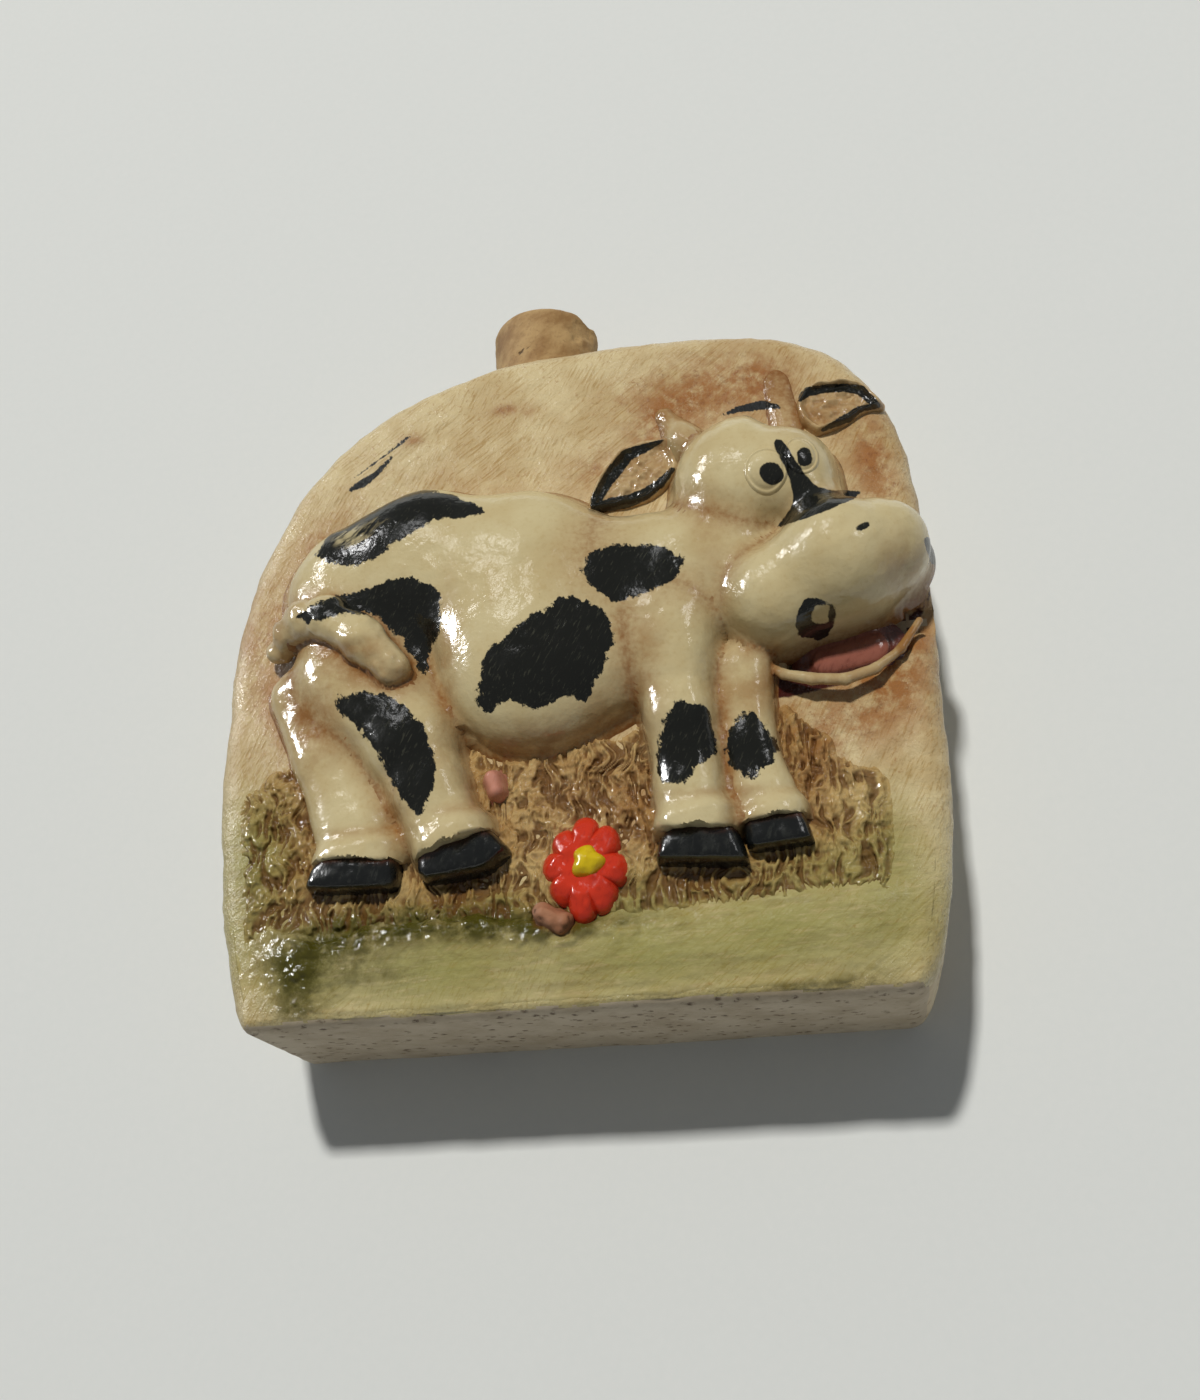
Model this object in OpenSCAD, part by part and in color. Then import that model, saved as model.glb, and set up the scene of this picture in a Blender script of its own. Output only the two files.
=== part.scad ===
// Ceramic flask in the shape of a standing block, with a cow in high relief on its front
// and a cork in its top. The flask stands on its base at z = 0, faces -Y and has X to the
// right. The relief is laid out on a grid that stretches with the front's width and height,
// and whose step is 1 mm at the sizes given below.

/* [Block] */
// Width of the block
body_w = 101.7; // [84.7:0.1:122.1]
// Height of the block, without the cork
body_h = 101.3; // [84.4:0.1:121.6]
// Thickness of the block, without the relief
body_t = 30; // [25:0.5:40]
// Thickness of the front slab
front_wall = 6.5; // [5.4:0.1:8]
// Thickness of the back slab
back_wall = 6; // [5:0.1:8]
// Thickness of the strip round the sides and top
side_wall = 6; // [5:0.1:9]
// Thickness of the base slab
base_wall = 6; // [5:0.1:9]
// Rounding of the front slab's outer edge
front_round = 3; // [2:0.1:5]
// Rounding of the back slab's outer edge
back_round = 4; // [2:0.1:5]

/* [Neck and cork] */
// Distance of the neck's axis from the middle, to the right
neck_x = -4.7; // [-12:0.1:4]
// Diameter of the neck's bore
bore_d = 16; // [13:0.1:20]
// Wall of the collar round the bore
collar_wall = 3; // [2:0.1:5]
// Length of the bore, from the top of the block
bore_len = 20; // [15:0.5:26]
// Gap between cork and bore at the rim, on the radius
cork_gap = 0.05; // [0.02:0.01:0.1]
// How much narrower the cork's lower end is than its rim, on the diameter
cork_taper = 1.3; // [0.6:0.1:2.5]
// Height of the cork above the block
cork_out = 14.8; // [12:0.1:26]
// Length of the cork inside the bore
cork_in = 15; // [10:0.5:18]
// Bevel on both ends of the cork
cork_bevel = 2.2; // [0.5:0.1:2.5]

/* [Relief] */
// How far the cow's barrel stands out of the front
torso_proud = 9; // [6:0.5:12]
// How far the head stands out
head_proud = 10.5; // [8:0.5:13]
// How far the neck stands out
neck_proud = 8.5; // [6:0.5:11]
// How far the muzzle's middle stands off the front, for its overhang
muzzle_lift = 3.5; // [2:0.5:5]
// Half thickness of the muzzle, front to back
muzzle_half = 10.5; // [8:0.5:13]
// Depth of the mouth's pocket in the front slab
mouth_depth = 3.5; // [2:0.5:4]
// Height of the mouth's gap, from lip to muzzle
mouth_gap = 6; // [5:0.1:7.2]
// How far the lower lip stands out
lip_proud = 5; // [3:0.5:7]
// How far the near legs stand out
near_leg_proud = 9; // [7:0.5:11]
// How far the far legs stand out
far_leg_proud = 5; // [4:0.5:7]
// How far the near hooves stand out
near_hoof_proud = 7.5; // [6:0.5:10]
// How far the far hooves stand out
far_hoof_proud = 5.5; // [4:0.5:8]
// How far the tail stands out
tail_proud = 10; // [7:0.5:12]
// How far the bank of ground stands out
bank_proud = 3.5; // [2:0.5:5]
// Number of petals on the flower
petals = 8; // [5:1:9]
// Radius of the flower, to the petals' tips
flower_r = 6.4; // [5:0.1:8]
// How far the flower stands out
flower_proud = 3.6; // [2.5:0.1:5]

/* [Hidden] */

// Planes of the front, of the two seams, and of the back
front_y = -body_t / 2;
front_seam = front_y + front_wall;
back_seam = body_t / 2 - back_wall;
back_y = body_t / 2;
// The neck runs down the middle of the hollow
neck_y = (front_seam + back_seam) / 2;
// Sides of round parts inside a hull
bead_fn = 20;
// Points on each quarter of the block's outline
quarter_n = 16;
// The outline on the grid: the base's ends, the sides, the heights where they are widest,
// and the ends of the crown
base_left = -43.8;
base_right = 42.5;
side_left = -50.4;
side_right = 51.3;
crown_left = 8;
crown_right = 12;
belly_left = 39;
belly_right = 50;
top = 101.3;
// The flower's middle on the grid
flower_at = [3.3, 18.2];
// Clearance of a round inlay in its hole
clay_gap = 0.06;
// Radius of the flower's middle, as a share of the flower's
centre_share = 0.34;
// How square the outline's lower, left crown and right crown quarters are
low_left_n = 2;
low_right_n = 2.5;
crown_left_n = 2.55;
crown_right_n = 3.5;
// One step of the front's layout grid, across, up, and for round sizes
gx = body_w / (side_right - side_left);
gz = body_h / top;
gr = min(gx, gz);

clay = [0.80, 0.71, 0.56];
hide = [0.79, 0.72, 0.55];
black = [0.09, 0.10, 0.09];
green = [0.52, 0.52, 0.30];
pink = [0.72, 0.48, 0.38];

// A quarter of a superellipse round c, with half axes a and b, from angle t0 to t0 + 90
function quarter(c, a, b, n, t0) = [
    for (i = [0:quarter_n])
        let (t = t0 + 90 * i / quarter_n, x = cos(t), z = sin(t))
        [c[0] + a * sign(x) * pow(abs(x), 2 / n), c[1] + b * sign(z) * pow(abs(z), 2 / n)]
];

// The block's outline drawn in by d millimetres on the sides and the top
function outline(d = 0) = let (k = (body_w / 2 - d) / (body_w / 2), h = (body_h - d) / body_h)
    [
        for (p = concat(
            quarter([base_right, belly_right], side_right - base_right, belly_right,
                low_right_n, -90),
            quarter([crown_right, belly_right], side_right - crown_right, top - belly_right,
                crown_right_n, 0),
            quarter([crown_left, belly_left], crown_left - side_left, top - belly_left,
                crown_left_n, 90),
            quarter([base_left, belly_left], base_left - side_left, belly_left,
                low_left_n, 180)
        )) [p[0] * gx * k, max(0, p[1] * gz * h)]
    ];

// Height of the outline over a place x on the crown's left, drawn in by d
function crown_z(x, d = 0) =
    let (k = (body_w / 2 - d) / (body_w / 2), h = (body_h - d) / body_h,
        q = min(1, abs(min(0, x / (gx * k) - crown_left)) / (crown_left - side_left)))
    (belly_left + (top - belly_left) * pow(1 - pow(q, crown_left_n), 1 / crown_left_n)) * gz * h;

neck_top = crown_z(neck_x);
rim_top = crown_z(neck_x + bore_d / 2);
cork_end = neck_top - cork_in;

// A plate of the block's outline from plane y0 to plane y1, drawn in by d
module plate(y0, y1, d = 0) {
    translate([0, y1, 0])
        rotate([90, 0, 0])
            linear_extrude(y1 - y0)
                polygon(outline(d));
}

// The space between the slabs, drawn in by d from the outline and starting at height z0
module between(d, z0) {
    intersection() {
        plate(front_seam, back_seam, d);
        translate([-body_w, front_seam, z0])
            cube([2 * body_w, back_seam - front_seam, 2 * body_h]);
    }
}

module bore() {
    translate([neck_x, neck_y, neck_top - bore_len - 1])
        cylinder(h = bore_len + 20, d = bore_d, $fn = 96);
}

// The space that the neck's collar takes up, out of the slabs and the band alike, so that
// the collar is a whole ring however thick the block or wide the bore
module collar_seat() {
    translate([neck_x, neck_y, neck_top - bore_len])
        cylinder(h = bore_len + 20, d = bore_d + 2 * collar_wall, $fn = 96);
}

// Half an ellipsoid standing out of the front: p is its place on the grid, r its grid
// radius, proud its height in millimetres and lift how far its middle is off the front
module bead(p, r, proud, lift = 0) {
    low = lift > 0 ? -max(-90, -asin(min(1, lift / proud))) : 0;
    translate([p[0] * gx, front_y - lift, p[1] * gz])
        rotate([90, 0, 0])
            rotate_extrude($fn = bead_fn)
                polygon(concat(
                    [[0, -min(lift, proud)]],
                    [for (i = [0:7]) let (a = -low + (90 + low) * i / 7)
                        [r * gr * cos(a), proud * sin(a)]]
                ));
}

// A limb is a chain of beads, each [place, radius, proud, lift]
module limb(chain) {
    for (i = [0:len(chain) - 2])
        hull() {
            bead(chain[i][0], chain[i][1], chain[i][2], chain[i][3]);
            bead(chain[i + 1][0], chain[i + 1][1], chain[i + 1][2], chain[i + 1][3]);
        }
}

// One convex lump round several beads
module lump(chain) {
    hull() for (b = chain) bead(b[0], b[1], b[2], b[3]);
}

// A hoof: a low block with a rounded top, leaning by a
module hoof_form(p, half, tall, a, proud) {
    translate([p[0] * gx, front_y, p[1] * gz])
        rotate([90, -a, 0])
            hull() {
                linear_extrude(proud - 2)
                    polygon([[-half * gr, -tall * gr], [half * gr, -tall * gr],
                        [(half - 1) * gr, tall * gr], [(1 - half) * gr, tall * gr]]);
                linear_extrude(proud)
                    polygon([[(1 - half) * gr, (1 - tall) * gr], [(half - 1) * gr, (1 - tall) * gr],
                        [(half - 1.8) * gr, (tall - 1) * gr], [(1.8 - half) * gr, (tall - 1) * gr]]);
            }
}

module torso_form() {
    lump([
        [[-26.5, 62.4], 14, torso_proud - 1, 0],
        [[-11, 53.5], 18.5, torso_proud, 0],
        [[3, 52], 16.5, torso_proud - 0.5, 0]
    ]);
}

module muzzle_form() {
    lump([
        [[30, 52], 7.6, muzzle_half - 2.5, muzzle_lift - 1],
        [[39.5, 55.5], 9, muzzle_half, muzzle_lift],
        [[44.8, 58.3], 6.6, muzzle_half - 2.5, muzzle_lift - 1]
    ]);
}

module head_form() {
    lump([
        [[27.2, 72], 11, head_proud, 0],
        [[32.4, 71.8], 6.8, head_proud - 0.5, 0]
    ]);
}

module neck_form() {
    lump([
        [[8, 59], 10.5, neck_proud, 0],
        [[22, 58], 10, neck_proud - 0.5, 0]
    ]);
}

module near_foreleg_form() {
    limb([
        [[15, 50], 8, near_leg_proud + 0.5, 0],
        [[16.6, 37], 5, near_leg_proud - 1, 0],
        [[17, 25.5], 5.2, near_leg_proud - 2, 0]
    ]);
}

module far_foreleg_form() {
    limb([
        [[25, 43], 4, far_leg_proud, 0],
        [[25, 33], 3.6, far_leg_proud, 0],
        [[26.6, 25], 4.6, far_leg_proud, 0]
    ]);
}

module near_hind_leg_form() {
    limb([
        [[-27.5, 47.5], 10, near_leg_proud, 0],
        [[-19.5, 35], 6.2, near_leg_proud - 0.5, 0],
        [[-16.3, 26], 5.4, near_leg_proud - 2, 0]
    ]);
}

module far_hind_leg_form() {
    limb([
        [[-38, 45.5], 4.2, far_leg_proud - 1, 0],
        [[-32.5, 34], 4.8, far_leg_proud, 0],
        [[-29.5, 25.5], 6, far_leg_proud, 0]
    ]);
}

module near_fore_hoof_form() { hoof_form([18.2, 18.3], 6, 3.3, -2, near_hoof_proud); }
module far_fore_hoof_form() { hoof_form([27.6, 20], 4.7, 2.4, 6, far_hoof_proud); }
module near_hind_hoof_form() { hoof_form([-13.6, 19], 6.2, 3, 14, near_hoof_proud); }
module far_hind_hoof_form() { hoof_form([-29.2, 18], 6.6, 3, -3, far_hoof_proud); }

// The mouth on the grid: its left corner, its two wide places, and its right corner
mouth_line = [[32, 44.6], [38, 45.4], [44, 48], [47.6, 51.4]];
mouth_share = [0.5, 1, 1, 0.6];

// The gap between muzzle and lip: round-ended cuts along the mouth
module mouth_form() {
    for (i = [0:len(mouth_line) - 2])
        hull()
            for (j = [i, i + 1])
                translate([mouth_line[j][0] * gx, front_y + mouth_depth, mouth_line[j][1] * gz])
                    rotate([90, 0, 0])
                        cylinder(h = mouth_depth + 30, d = mouth_gap * mouth_share[j], $fn = 32);
}

module lip_form() {
    limb([
        [[28.8, 43.6], 1.3, lip_proud - 2, 0],
        [[33.1, 42], 1.3, lip_proud, 0],
        [[38.3, 41.2], 1.3, lip_proud, 0],
        [[42.6, 42.2], 1.2, lip_proud - 1, 0],
        [[45.4, 44.4], 1.1, lip_proud - 2.5, 0]
    ]);
}

module front_slab() {
    color(clay)
        difference() {
            hull() {
                plate(front_y + front_round, front_seam);
                plate(front_y + front_round * 0.4, front_seam, front_round * 0.2);
                plate(front_y + front_round * 0.1, front_seam, front_round * 0.56);
                plate(front_y, front_seam, front_round);
            }
            mouth_form();
            collar_seat();
        }
}

module back_slab() {
    color(clay)
        difference() {
            hull() {
                plate(back_seam, back_y - back_round);
                plate(back_seam, back_y - back_round * 0.4, back_round * 0.2);
                plate(back_seam, back_y - back_round * 0.1, back_round * 0.56);
                plate(back_seam, back_y, back_round);
            }
            collar_seat();
        }
}

// One half of the strip round the sides and top: the halves meet at the neck, and side is
// -1 for the left half and 1 for the right
module band_half(side) {
    difference() {
        intersection() {
            between(0, base_wall);
            translate([neck_x + (side - 1) * body_w, front_seam, 0])
                cube([2 * body_w, back_seam - front_seam, 2 * body_h]);
        }
        translate([0, -1, 0]) between(side_wall, 0);
        translate([0, 1, 0]) between(side_wall, 0);
        collar_seat();
    }
}

module side_band_left() { color(clay) band_half(-1); }

module side_band_right() { color(clay) band_half(1); }

module base_slab() {
    color(clay)
        intersection() {
            plate(front_seam, back_seam);
            translate([-body_w, front_seam, 0])
                cube([2 * body_w, back_seam - front_seam, base_wall]);
        }
}

module neck_collar() {
    color(clay)
        difference() {
            intersection() {
                plate(front_y, back_y);
                collar_seat();
            }
            bore();
        }
}

module cork() {
    r_rim = bore_d / 2 - cork_gap;
    r_low = r_rim - cork_taper / 2;
    rim_up = rim_top - cork_end;
    length = cork_in + cork_out;
    slope = (r_rim - r_low) / rim_up;
    r_top = r_low + slope * length;
    color([0.69, 0.55, 0.37])
        translate([neck_x, neck_y, cork_end])
            rotate_extrude($fn = 96)
                polygon([
                    [0, 0], [r_low + slope * cork_bevel - cork_bevel, 0],
                    [r_low + slope * cork_bevel, cork_bevel],
                    [r_top - slope * cork_bevel, length - cork_bevel],
                    [r_top - cork_bevel, length], [0, length]
                ]);
}

module ground_bank() {
    color(green)
        difference() {
            lump([
                [[-38, 7], 5.8, bank_proud - 0.5, 0],
                [[-12, 6], 5.4, bank_proud, 0],
                [[20, 6], 5.4, bank_proud, 0],
                [[37, 7], 6, bank_proud - 0.5, 0]
            ]);
            pebble_form();
            flower_form();
        }
}

module torso() { color(hide) torso_form(); }

module neck() {
    color(hide)
        difference() {
            neck_form();
            torso_form();
            muzzle_form();
            head_form();
        }
}

module head() {
    color(hide)
        difference() {
            head_form();
            muzzle_form();
        }
}

module muzzle() {
    color(hide)
        difference() {
            muzzle_form();
            mouth_form();
        }
}

module lower_lip() {
    color(hide)
        difference() {
            lip_form();
            muzzle_form();
            mouth_form();
            far_foreleg_form();
        }
}

module tongue() {
    color(pink)
        intersection() {
            translate([0, mouth_depth, 0])
                lump([
                    [[34.5, 45], 2, mouth_depth, 0],
                    [[41, 46], 2.4, mouth_depth + 1, 0]
                ]);
            mouth_form();
        }
}

// An ear: a flat leaf between two points of the grid
module ear_form(base, tip, wide) {
    middle = (base + tip) / 2;
    lump([[base, wide * 0.45, 2.2, 0], [middle, wide, 3, 0], [tip, 0.6, 1.6, 0]]);
}

module near_ear() {
    color(hide)
        difference() {
            ear_form([15.2, 79.6], [5.4, 71.8], 3.8);
            head_form();
            torso_form();
            neck_form();
            near_horn_form();
        }
}

module far_ear() {
    color(hide)
        difference() {
            ear_form([37, 83.2], [44.4, 84.9], 2.8);
            head_form();
            far_horn_form();
        }
}

module near_horn_form() {
    limb([[[18.6, 81.2], 2.6, 5, 0], [[15.2, 86.6], 1.3, 3.2, 0]]);
}

module near_horn() {
    color(hide)
        difference() {
            near_horn_form();
            head_form();
        }
}

module far_horn_form() {
    limb([[[33.6, 81.5], 2, 4, 0], [[32.2, 90.6], 1.2, 2.6, 0]]);
}

module far_horn() {
    color(hide)
        difference() {
            far_horn_form();
            head_form();
        }
}

// Each eye is a low dome that shows above the head
module near_eye_form() { bead([30.3, 69], 3.4, head_proud + 1); }
module far_eye_form() { bead([35.9, 72], 2.8, head_proud); }

module near_eye() {
    color(hide)
        difference() {
            near_eye_form();
            head_form();
            muzzle_form();
        }
}

module far_eye() {
    color(hide)
        difference() {
            far_eye_form();
            head_form();
            muzzle_form();
            near_eye_form();
        }
}

module near_foreleg() {
    color(hide)
        difference() {
            near_foreleg_form();
            torso_form();
            neck_form();
            muzzle_form();
            near_fore_hoof_form();
        }
}

module far_foreleg() {
    color(hide)
        difference() {
            far_foreleg_form();
            near_foreleg_form();
            neck_form();
            muzzle_form();
            torso_form();
            far_fore_hoof_form();
            near_fore_hoof_form();
        }
}

module near_hind_leg() {
    color(hide)
        difference() {
            near_hind_leg_form();
            torso_form();
            near_hind_hoof_form();
        }
}

module far_hind_leg() {
    color(hide)
        difference() {
            far_hind_leg_form();
            near_hind_leg_form();
            torso_form();
            far_hind_hoof_form();
            near_hind_hoof_form();
        }
}

module near_fore_hoof() { color(black) near_fore_hoof_form(); }

module far_fore_hoof() {
    color(black)
        difference() {
            far_fore_hoof_form();
            near_fore_hoof_form();
            near_foreleg_form();
        }
}

module near_hind_hoof() { color(black) near_hind_hoof_form(); }

module far_hind_hoof() {
    color(black)
        difference() {
            far_hind_hoof_form();
            near_hind_leg_form();
            near_hind_hoof_form();
        }
}

module udder() {
    color(pink)
        difference() {
            lump([[[-9.8, 32.6], 3, 4.5, 0], [[-9.4, 29.8], 2, 4, 0]]);
            torso_form();
            near_hind_leg_form();
        }
}

module tail() {
    color(hide)
        difference() {
            limb([
                [[-41, 51.5], 1.5, tail_proud - 3, 0],
                [[-37, 54.2], 1.7, tail_proud - 1, 0],
                [[-31, 54.6], 1.9, tail_proud, 0],
                [[-25, 50.8], 2.4, tail_proud, 0],
                [[-21.5, 45.5], 2.2, tail_proud - 0.5, 0]
            ]);
            torso_form();
            near_hind_leg_form();
            far_hind_leg_form();
        }
}

module flower_form() {
    translate([flower_at[0] * gx, front_y, flower_at[1] * gz])
        rotate([90, 0, 0]) {
            cylinder(h = flower_proud * 0.9, r = flower_r * 0.66, $fn = 48);
            for (i = [0:petals - 1])
                rotate(360 * i / petals)
                    translate([flower_r * 0.7, 0, 0])
                        cylinder(h = flower_proud, r = flower_r * 0.3, $fn = 24);
        }
}

// The flower's middle, grown by gap millimetres for the hole that it sits in
module centre_form(gap = 0) {
    translate([flower_at[0] * gx, front_y - flower_proud * 0.5, flower_at[1] * gz])
        rotate([90, 0, 0])
            cylinder(h = flower_proud * 0.5 + 0.8, r = flower_r * centre_share + gap, $fn = 32);
}

module flower_petals() {
    color([0.75, 0.16, 0.09])
        difference() {
            flower_form();
            centre_form(clay_gap);
        }
}

module flower_centre() { color([0.82, 0.68, 0.06]) centre_form(); }

module pebble_form() {
    lump([[[-3, 12], 1.6, 3, 0], [[-0.6, 11.2], 1.4, 2.6, 0]]);
}

module pebble() {
    color(pink)
        difference() {
            pebble_form();
            flower_form();
        }
}

front_slab();
back_slab();
side_band_left();
side_band_right();
base_slab();
neck_collar();
cork();
ground_bank();
torso();
neck();
head();
muzzle();
lower_lip();
tongue();
near_ear();
far_ear();
near_horn();
far_horn();
near_eye();
far_eye();
near_foreleg();
far_foreleg();
near_hind_leg();
far_hind_leg();
near_fore_hoof();
far_fore_hoof();
near_hind_hoof();
far_hind_hoof();
udder();
tail();
flower_petals();
flower_centre();
pebble();
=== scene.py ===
"""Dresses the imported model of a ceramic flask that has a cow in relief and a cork."""
import logging
from dataclasses import dataclass, field
from enum import Enum
from typing import Any, Callable, Optional, Sequence, Union

import bmesh
import bpy
import numpy as np
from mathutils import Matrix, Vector


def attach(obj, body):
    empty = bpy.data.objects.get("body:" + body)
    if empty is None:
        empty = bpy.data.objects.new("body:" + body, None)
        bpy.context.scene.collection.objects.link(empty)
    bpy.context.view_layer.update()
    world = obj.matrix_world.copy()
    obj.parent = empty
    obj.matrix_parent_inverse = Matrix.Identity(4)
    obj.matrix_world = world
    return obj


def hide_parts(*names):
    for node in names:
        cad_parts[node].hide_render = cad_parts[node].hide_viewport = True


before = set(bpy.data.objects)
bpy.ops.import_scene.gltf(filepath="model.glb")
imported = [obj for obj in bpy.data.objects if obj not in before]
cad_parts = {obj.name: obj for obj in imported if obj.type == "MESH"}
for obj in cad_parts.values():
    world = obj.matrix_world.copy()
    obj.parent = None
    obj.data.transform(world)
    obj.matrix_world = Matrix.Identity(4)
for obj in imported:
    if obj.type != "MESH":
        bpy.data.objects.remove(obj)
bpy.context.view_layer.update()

LOG = logging.getLogger("flask")
MM = 0.001                       # metres in a millimetre: shapes are worked out in mm
FACE_Y, BACK_Y = -15.0, 15.0     # planes of the front and back faces
FRONT_SEAM, BACK_SEAM = -8.5, 9.0
EYE = np.array([36.305, -209.365, -38.577])   # where the viewer stands
CLAY = "_clay"                   # ends the name of a piece that stands for a node
BARE = -9.0                      # depth in a mark of a point that no mark reaches
TINY = 1e-9                      # keeps a division from meeting zero
NO_SHARP = 180.0                 # an angle that no edge exceeds
REACH = 14.0                     # forms further apart than this, in mm, can't touch
QUARTER = np.linspace(0, np.pi / 2, 9)[1:]    # angles of the steps of a rounded edge
Array = np.ndarray
Tint = tuple[int, int, int]
Outline = tuple[tuple[float, float], ...]
Spot = tuple[float, float, float, float, float]


# ---------------------------------------------------------------- numbers

def smooth_step(value: Array, low: float, high: float) -> Array:
    """Rises smoothly from 0 at low to 1 at high.

    Args:
        value: Numbers to map.
        low: Where the result is 0.
        high: Where the result is 1.

    Returns:
        3t^2 - 2t^3 of the place t of each value between low and high.
    """
    t = np.clip((value - low) / (high - low), 0.0, 1.0)
    return t * t * (3.0 - 2.0 * t)


def soft_min(a: Array, b: Array, blend: float) -> Array:
    """The smaller of two distances, rounded over where they are nearly equal.

    Args:
        a: First distances.
        b: Second distances.
        blend: Difference at which the rounding begins, in mm.

    Returns:
        min(a, b) less a quarter of blend times the square of their closeness.
    """
    near = np.maximum(blend - np.abs(a - b), 0.0) / blend
    return np.minimum(a, b) - near * near * blend * 0.25


class Grain:
    """Smooth seeded noise: random numbers on a lattice, blended between corners."""

    SIZE = 48

    def __init__(self, seed: int) -> None:
        """Draws the lattice.

        Args:
            seed: Number that fixes the draw.
        """
        self.table = np.random.default_rng(seed).uniform(-1.0, 1.0, (self.SIZE,) * 3)

    def at(self, points: Array, cell: Union[float, Sequence[float]]) -> Array:
        """Noise from -1 to 1 at points.

        Args:
            points: Places, in mm, as rows of three.
            cell: Size of a lattice cell in mm, one for all axes or one for each.

        Returns:
            The eight corner numbers of each cell, weighted by smooth steps.
        """
        scaled = points / np.asarray(cell, float)
        low = np.floor(scaled)
        part = scaled - low
        part = part * part * (3.0 - 2.0 * part)
        low = low.astype(int)
        total = np.zeros(points.shape[:-1])
        for i in (0, 1):
            for j in (0, 1):
                for k in (0, 1):
                    weight = (
                        np.abs(1 - i - part[..., 0])
                        * np.abs(1 - j - part[..., 1])
                        * np.abs(1 - k - part[..., 2])
                    )
                    corner = (low + (i, j, k)) % self.SIZE
                    total += weight * self.table[corner[..., 0], corner[..., 1], corner[..., 2]]
        return total

    def rough(self, points: Array, cell: float, octaves: int = 3) -> Array:
        """Several sizes of noise on top of each other, each half as big and as high.

        Args:
            points: Places, in mm.
            cell: Size of the largest cell.
            octaves: How many sizes.

        Returns:
            Their sum.
        """
        total = np.zeros(points.shape[:-1])
        for octave in range(octaves):
            total += self.at(points + 17.3 * octave, cell / 2 ** octave) / 2 ** octave
        return total


LUMPS, WARP, FIBRE = Grain(11), Grain(12), Grain(13)


def spots(x: Union[float, Array], y: Union[float, Array], z: Union[float, Array]) -> Array:
    """Places from x, y and z, each an array or one number for all."""
    return np.stack(np.broadcast_arrays(x, y, z), axis=-1)


def circle(count: int) -> Array:
    """Angles evenly spaced round a circle."""
    return np.linspace(0, 2 * np.pi, count, endpoint=False)


def seen(points: Array) -> Array:
    """Where the viewer sees points against the plane of the front face.

    Args:
        points: Places, in mm.

    Returns:
        x and z where the line from the viewer's eye to each point meets the face plane.
    """
    reach = (FACE_Y - EYE[1]) / (points[..., 1] - EYE[1])
    return EYE[::2] + (points[..., ::2] - EYE[::2]) * reach[..., None]


def oval(x: float, z: float, wide: Union[float, Array], tall: Union[float, Array],
         turn: Array) -> Array:
    """Points at angles round an oval of a middle, half width and half height."""
    return np.stack([x + wide * np.cos(turn), z + tall * np.sin(turn)], -1)


def running(steps: Array) -> Array:
    """The running sum of steps, from 0."""
    return np.concatenate([[0.0], np.cumsum(steps)])


def walk(path: Array, along: Array, place: Array) -> Array:
    """The rows of a path at new places, where along holds the place of each row."""
    return np.stack([np.interp(place, along, column) for column in path.T], -1)


def cut_corners(ring: Array, share: float) -> Array:
    """A closed outline with each side shortened by a share at both ends."""
    after = np.roll(ring, -1, axis=0)
    keep = 1.0 - share
    return np.stack([keep * ring + share * after, share * ring + keep * after],
                    1).reshape(-1, 2)


def beside(a: Array, b: Array, places: Array) -> tuple[Array, Array]:
    """How places lie beside the straight line from a to b.

    Args:
        a: Its start, as x and z.
        b: Its end.
        places: x and z, in mm.

    Returns:
        The part of the way along it of its nearest point, and the distance to that.
    """
    run = b - a
    away = places - a
    t = np.clip((away @ run) / max(run @ run, TINY), 0.0, 1.0)
    return t, np.hypot(*np.moveaxis(away - t[..., None] * run, -1, 0))


def patch_depth(outline: Outline, places: Array) -> Array:
    """How far inside a closed outline places lie.

    Args:
        outline: Corners of the patch, which are rounded off once.
        places: x and z, in mm.

    Returns:
        Distance to the outline, above 0 inside and below 0 outside.
    """
    ring = cut_corners(np.asarray(outline, float), 0.2)
    nearest = np.full(places.shape[:-1], np.inf)
    inside = np.zeros(places.shape[:-1], bool)
    for a, b in zip(ring, np.roll(ring, -1, axis=0)):
        run = b - a
        nearest = np.minimum(nearest, beside(a, b, places)[1])
        crosses = (a[1] > places[..., 1]) != (b[1] > places[..., 1])
        rise = run[1] if abs(run[1]) > TINY else TINY
        inside ^= crosses & (places[..., 0] < a[0] + run[0] * (places[..., 1] - a[1]) / rise)
    return np.where(inside, nearest, -nearest)


def rounded(corners: Outline, count: int) -> Array:
    """A closed outline with its corners cut three times, evenly spaced.

    Args:
        corners: Its corners, as x and z.
        count: How many points to return.

    Returns:
        The points.
    """
    ring = np.asarray(corners, float)
    for _ in range(3):
        ring = cut_corners(ring, 0.13)
    ring = np.concatenate([ring, ring[:1]])
    along = running(np.hypot(*np.diff(ring, axis=0).T))
    return walk(ring, along, np.linspace(0.0, along[-1], count, endpoint=False))


def stroke_depth(path: Sequence[tuple[float, float, float]], places: Array) -> Array:
    """How far inside a brush stroke places lie.

    Args:
        path: Points of the stroke, as x, z and half its width there.
        places: x and z, in mm.

    Returns:
        Half width less the distance to the stroke's line.
    """
    best = np.full(places.shape[:-1], -50.0)
    for a, b in zip(np.asarray(path[:-1]), np.asarray(path[1:])):
        t, gap = beside(a[:2], b[:2], places)
        best = np.maximum(best, a[2] + t * (b[2] - a[2]) - gap)
    return best


def cloud(marks: Sequence[Spot], places: Array) -> Array:
    """Soft spots of colour.

    Args:
        marks: Centre x and z, half width, half height and strength of each.
        places: x and z, in mm.

    Returns:
        Their bell curves joined, from 0 to 1.
    """
    left = np.ones(places.shape[:-1])
    for x, z, wide, tall, strength in marks:
        fall = ((places[..., 0] - x) / wide) ** 2 + ((places[..., 1] - z) / tall) ** 2
        left *= 1.0 - strength * np.exp(-fall)
    return 1.0 - left


# ---------------------------------------------------------------- meshes

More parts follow.
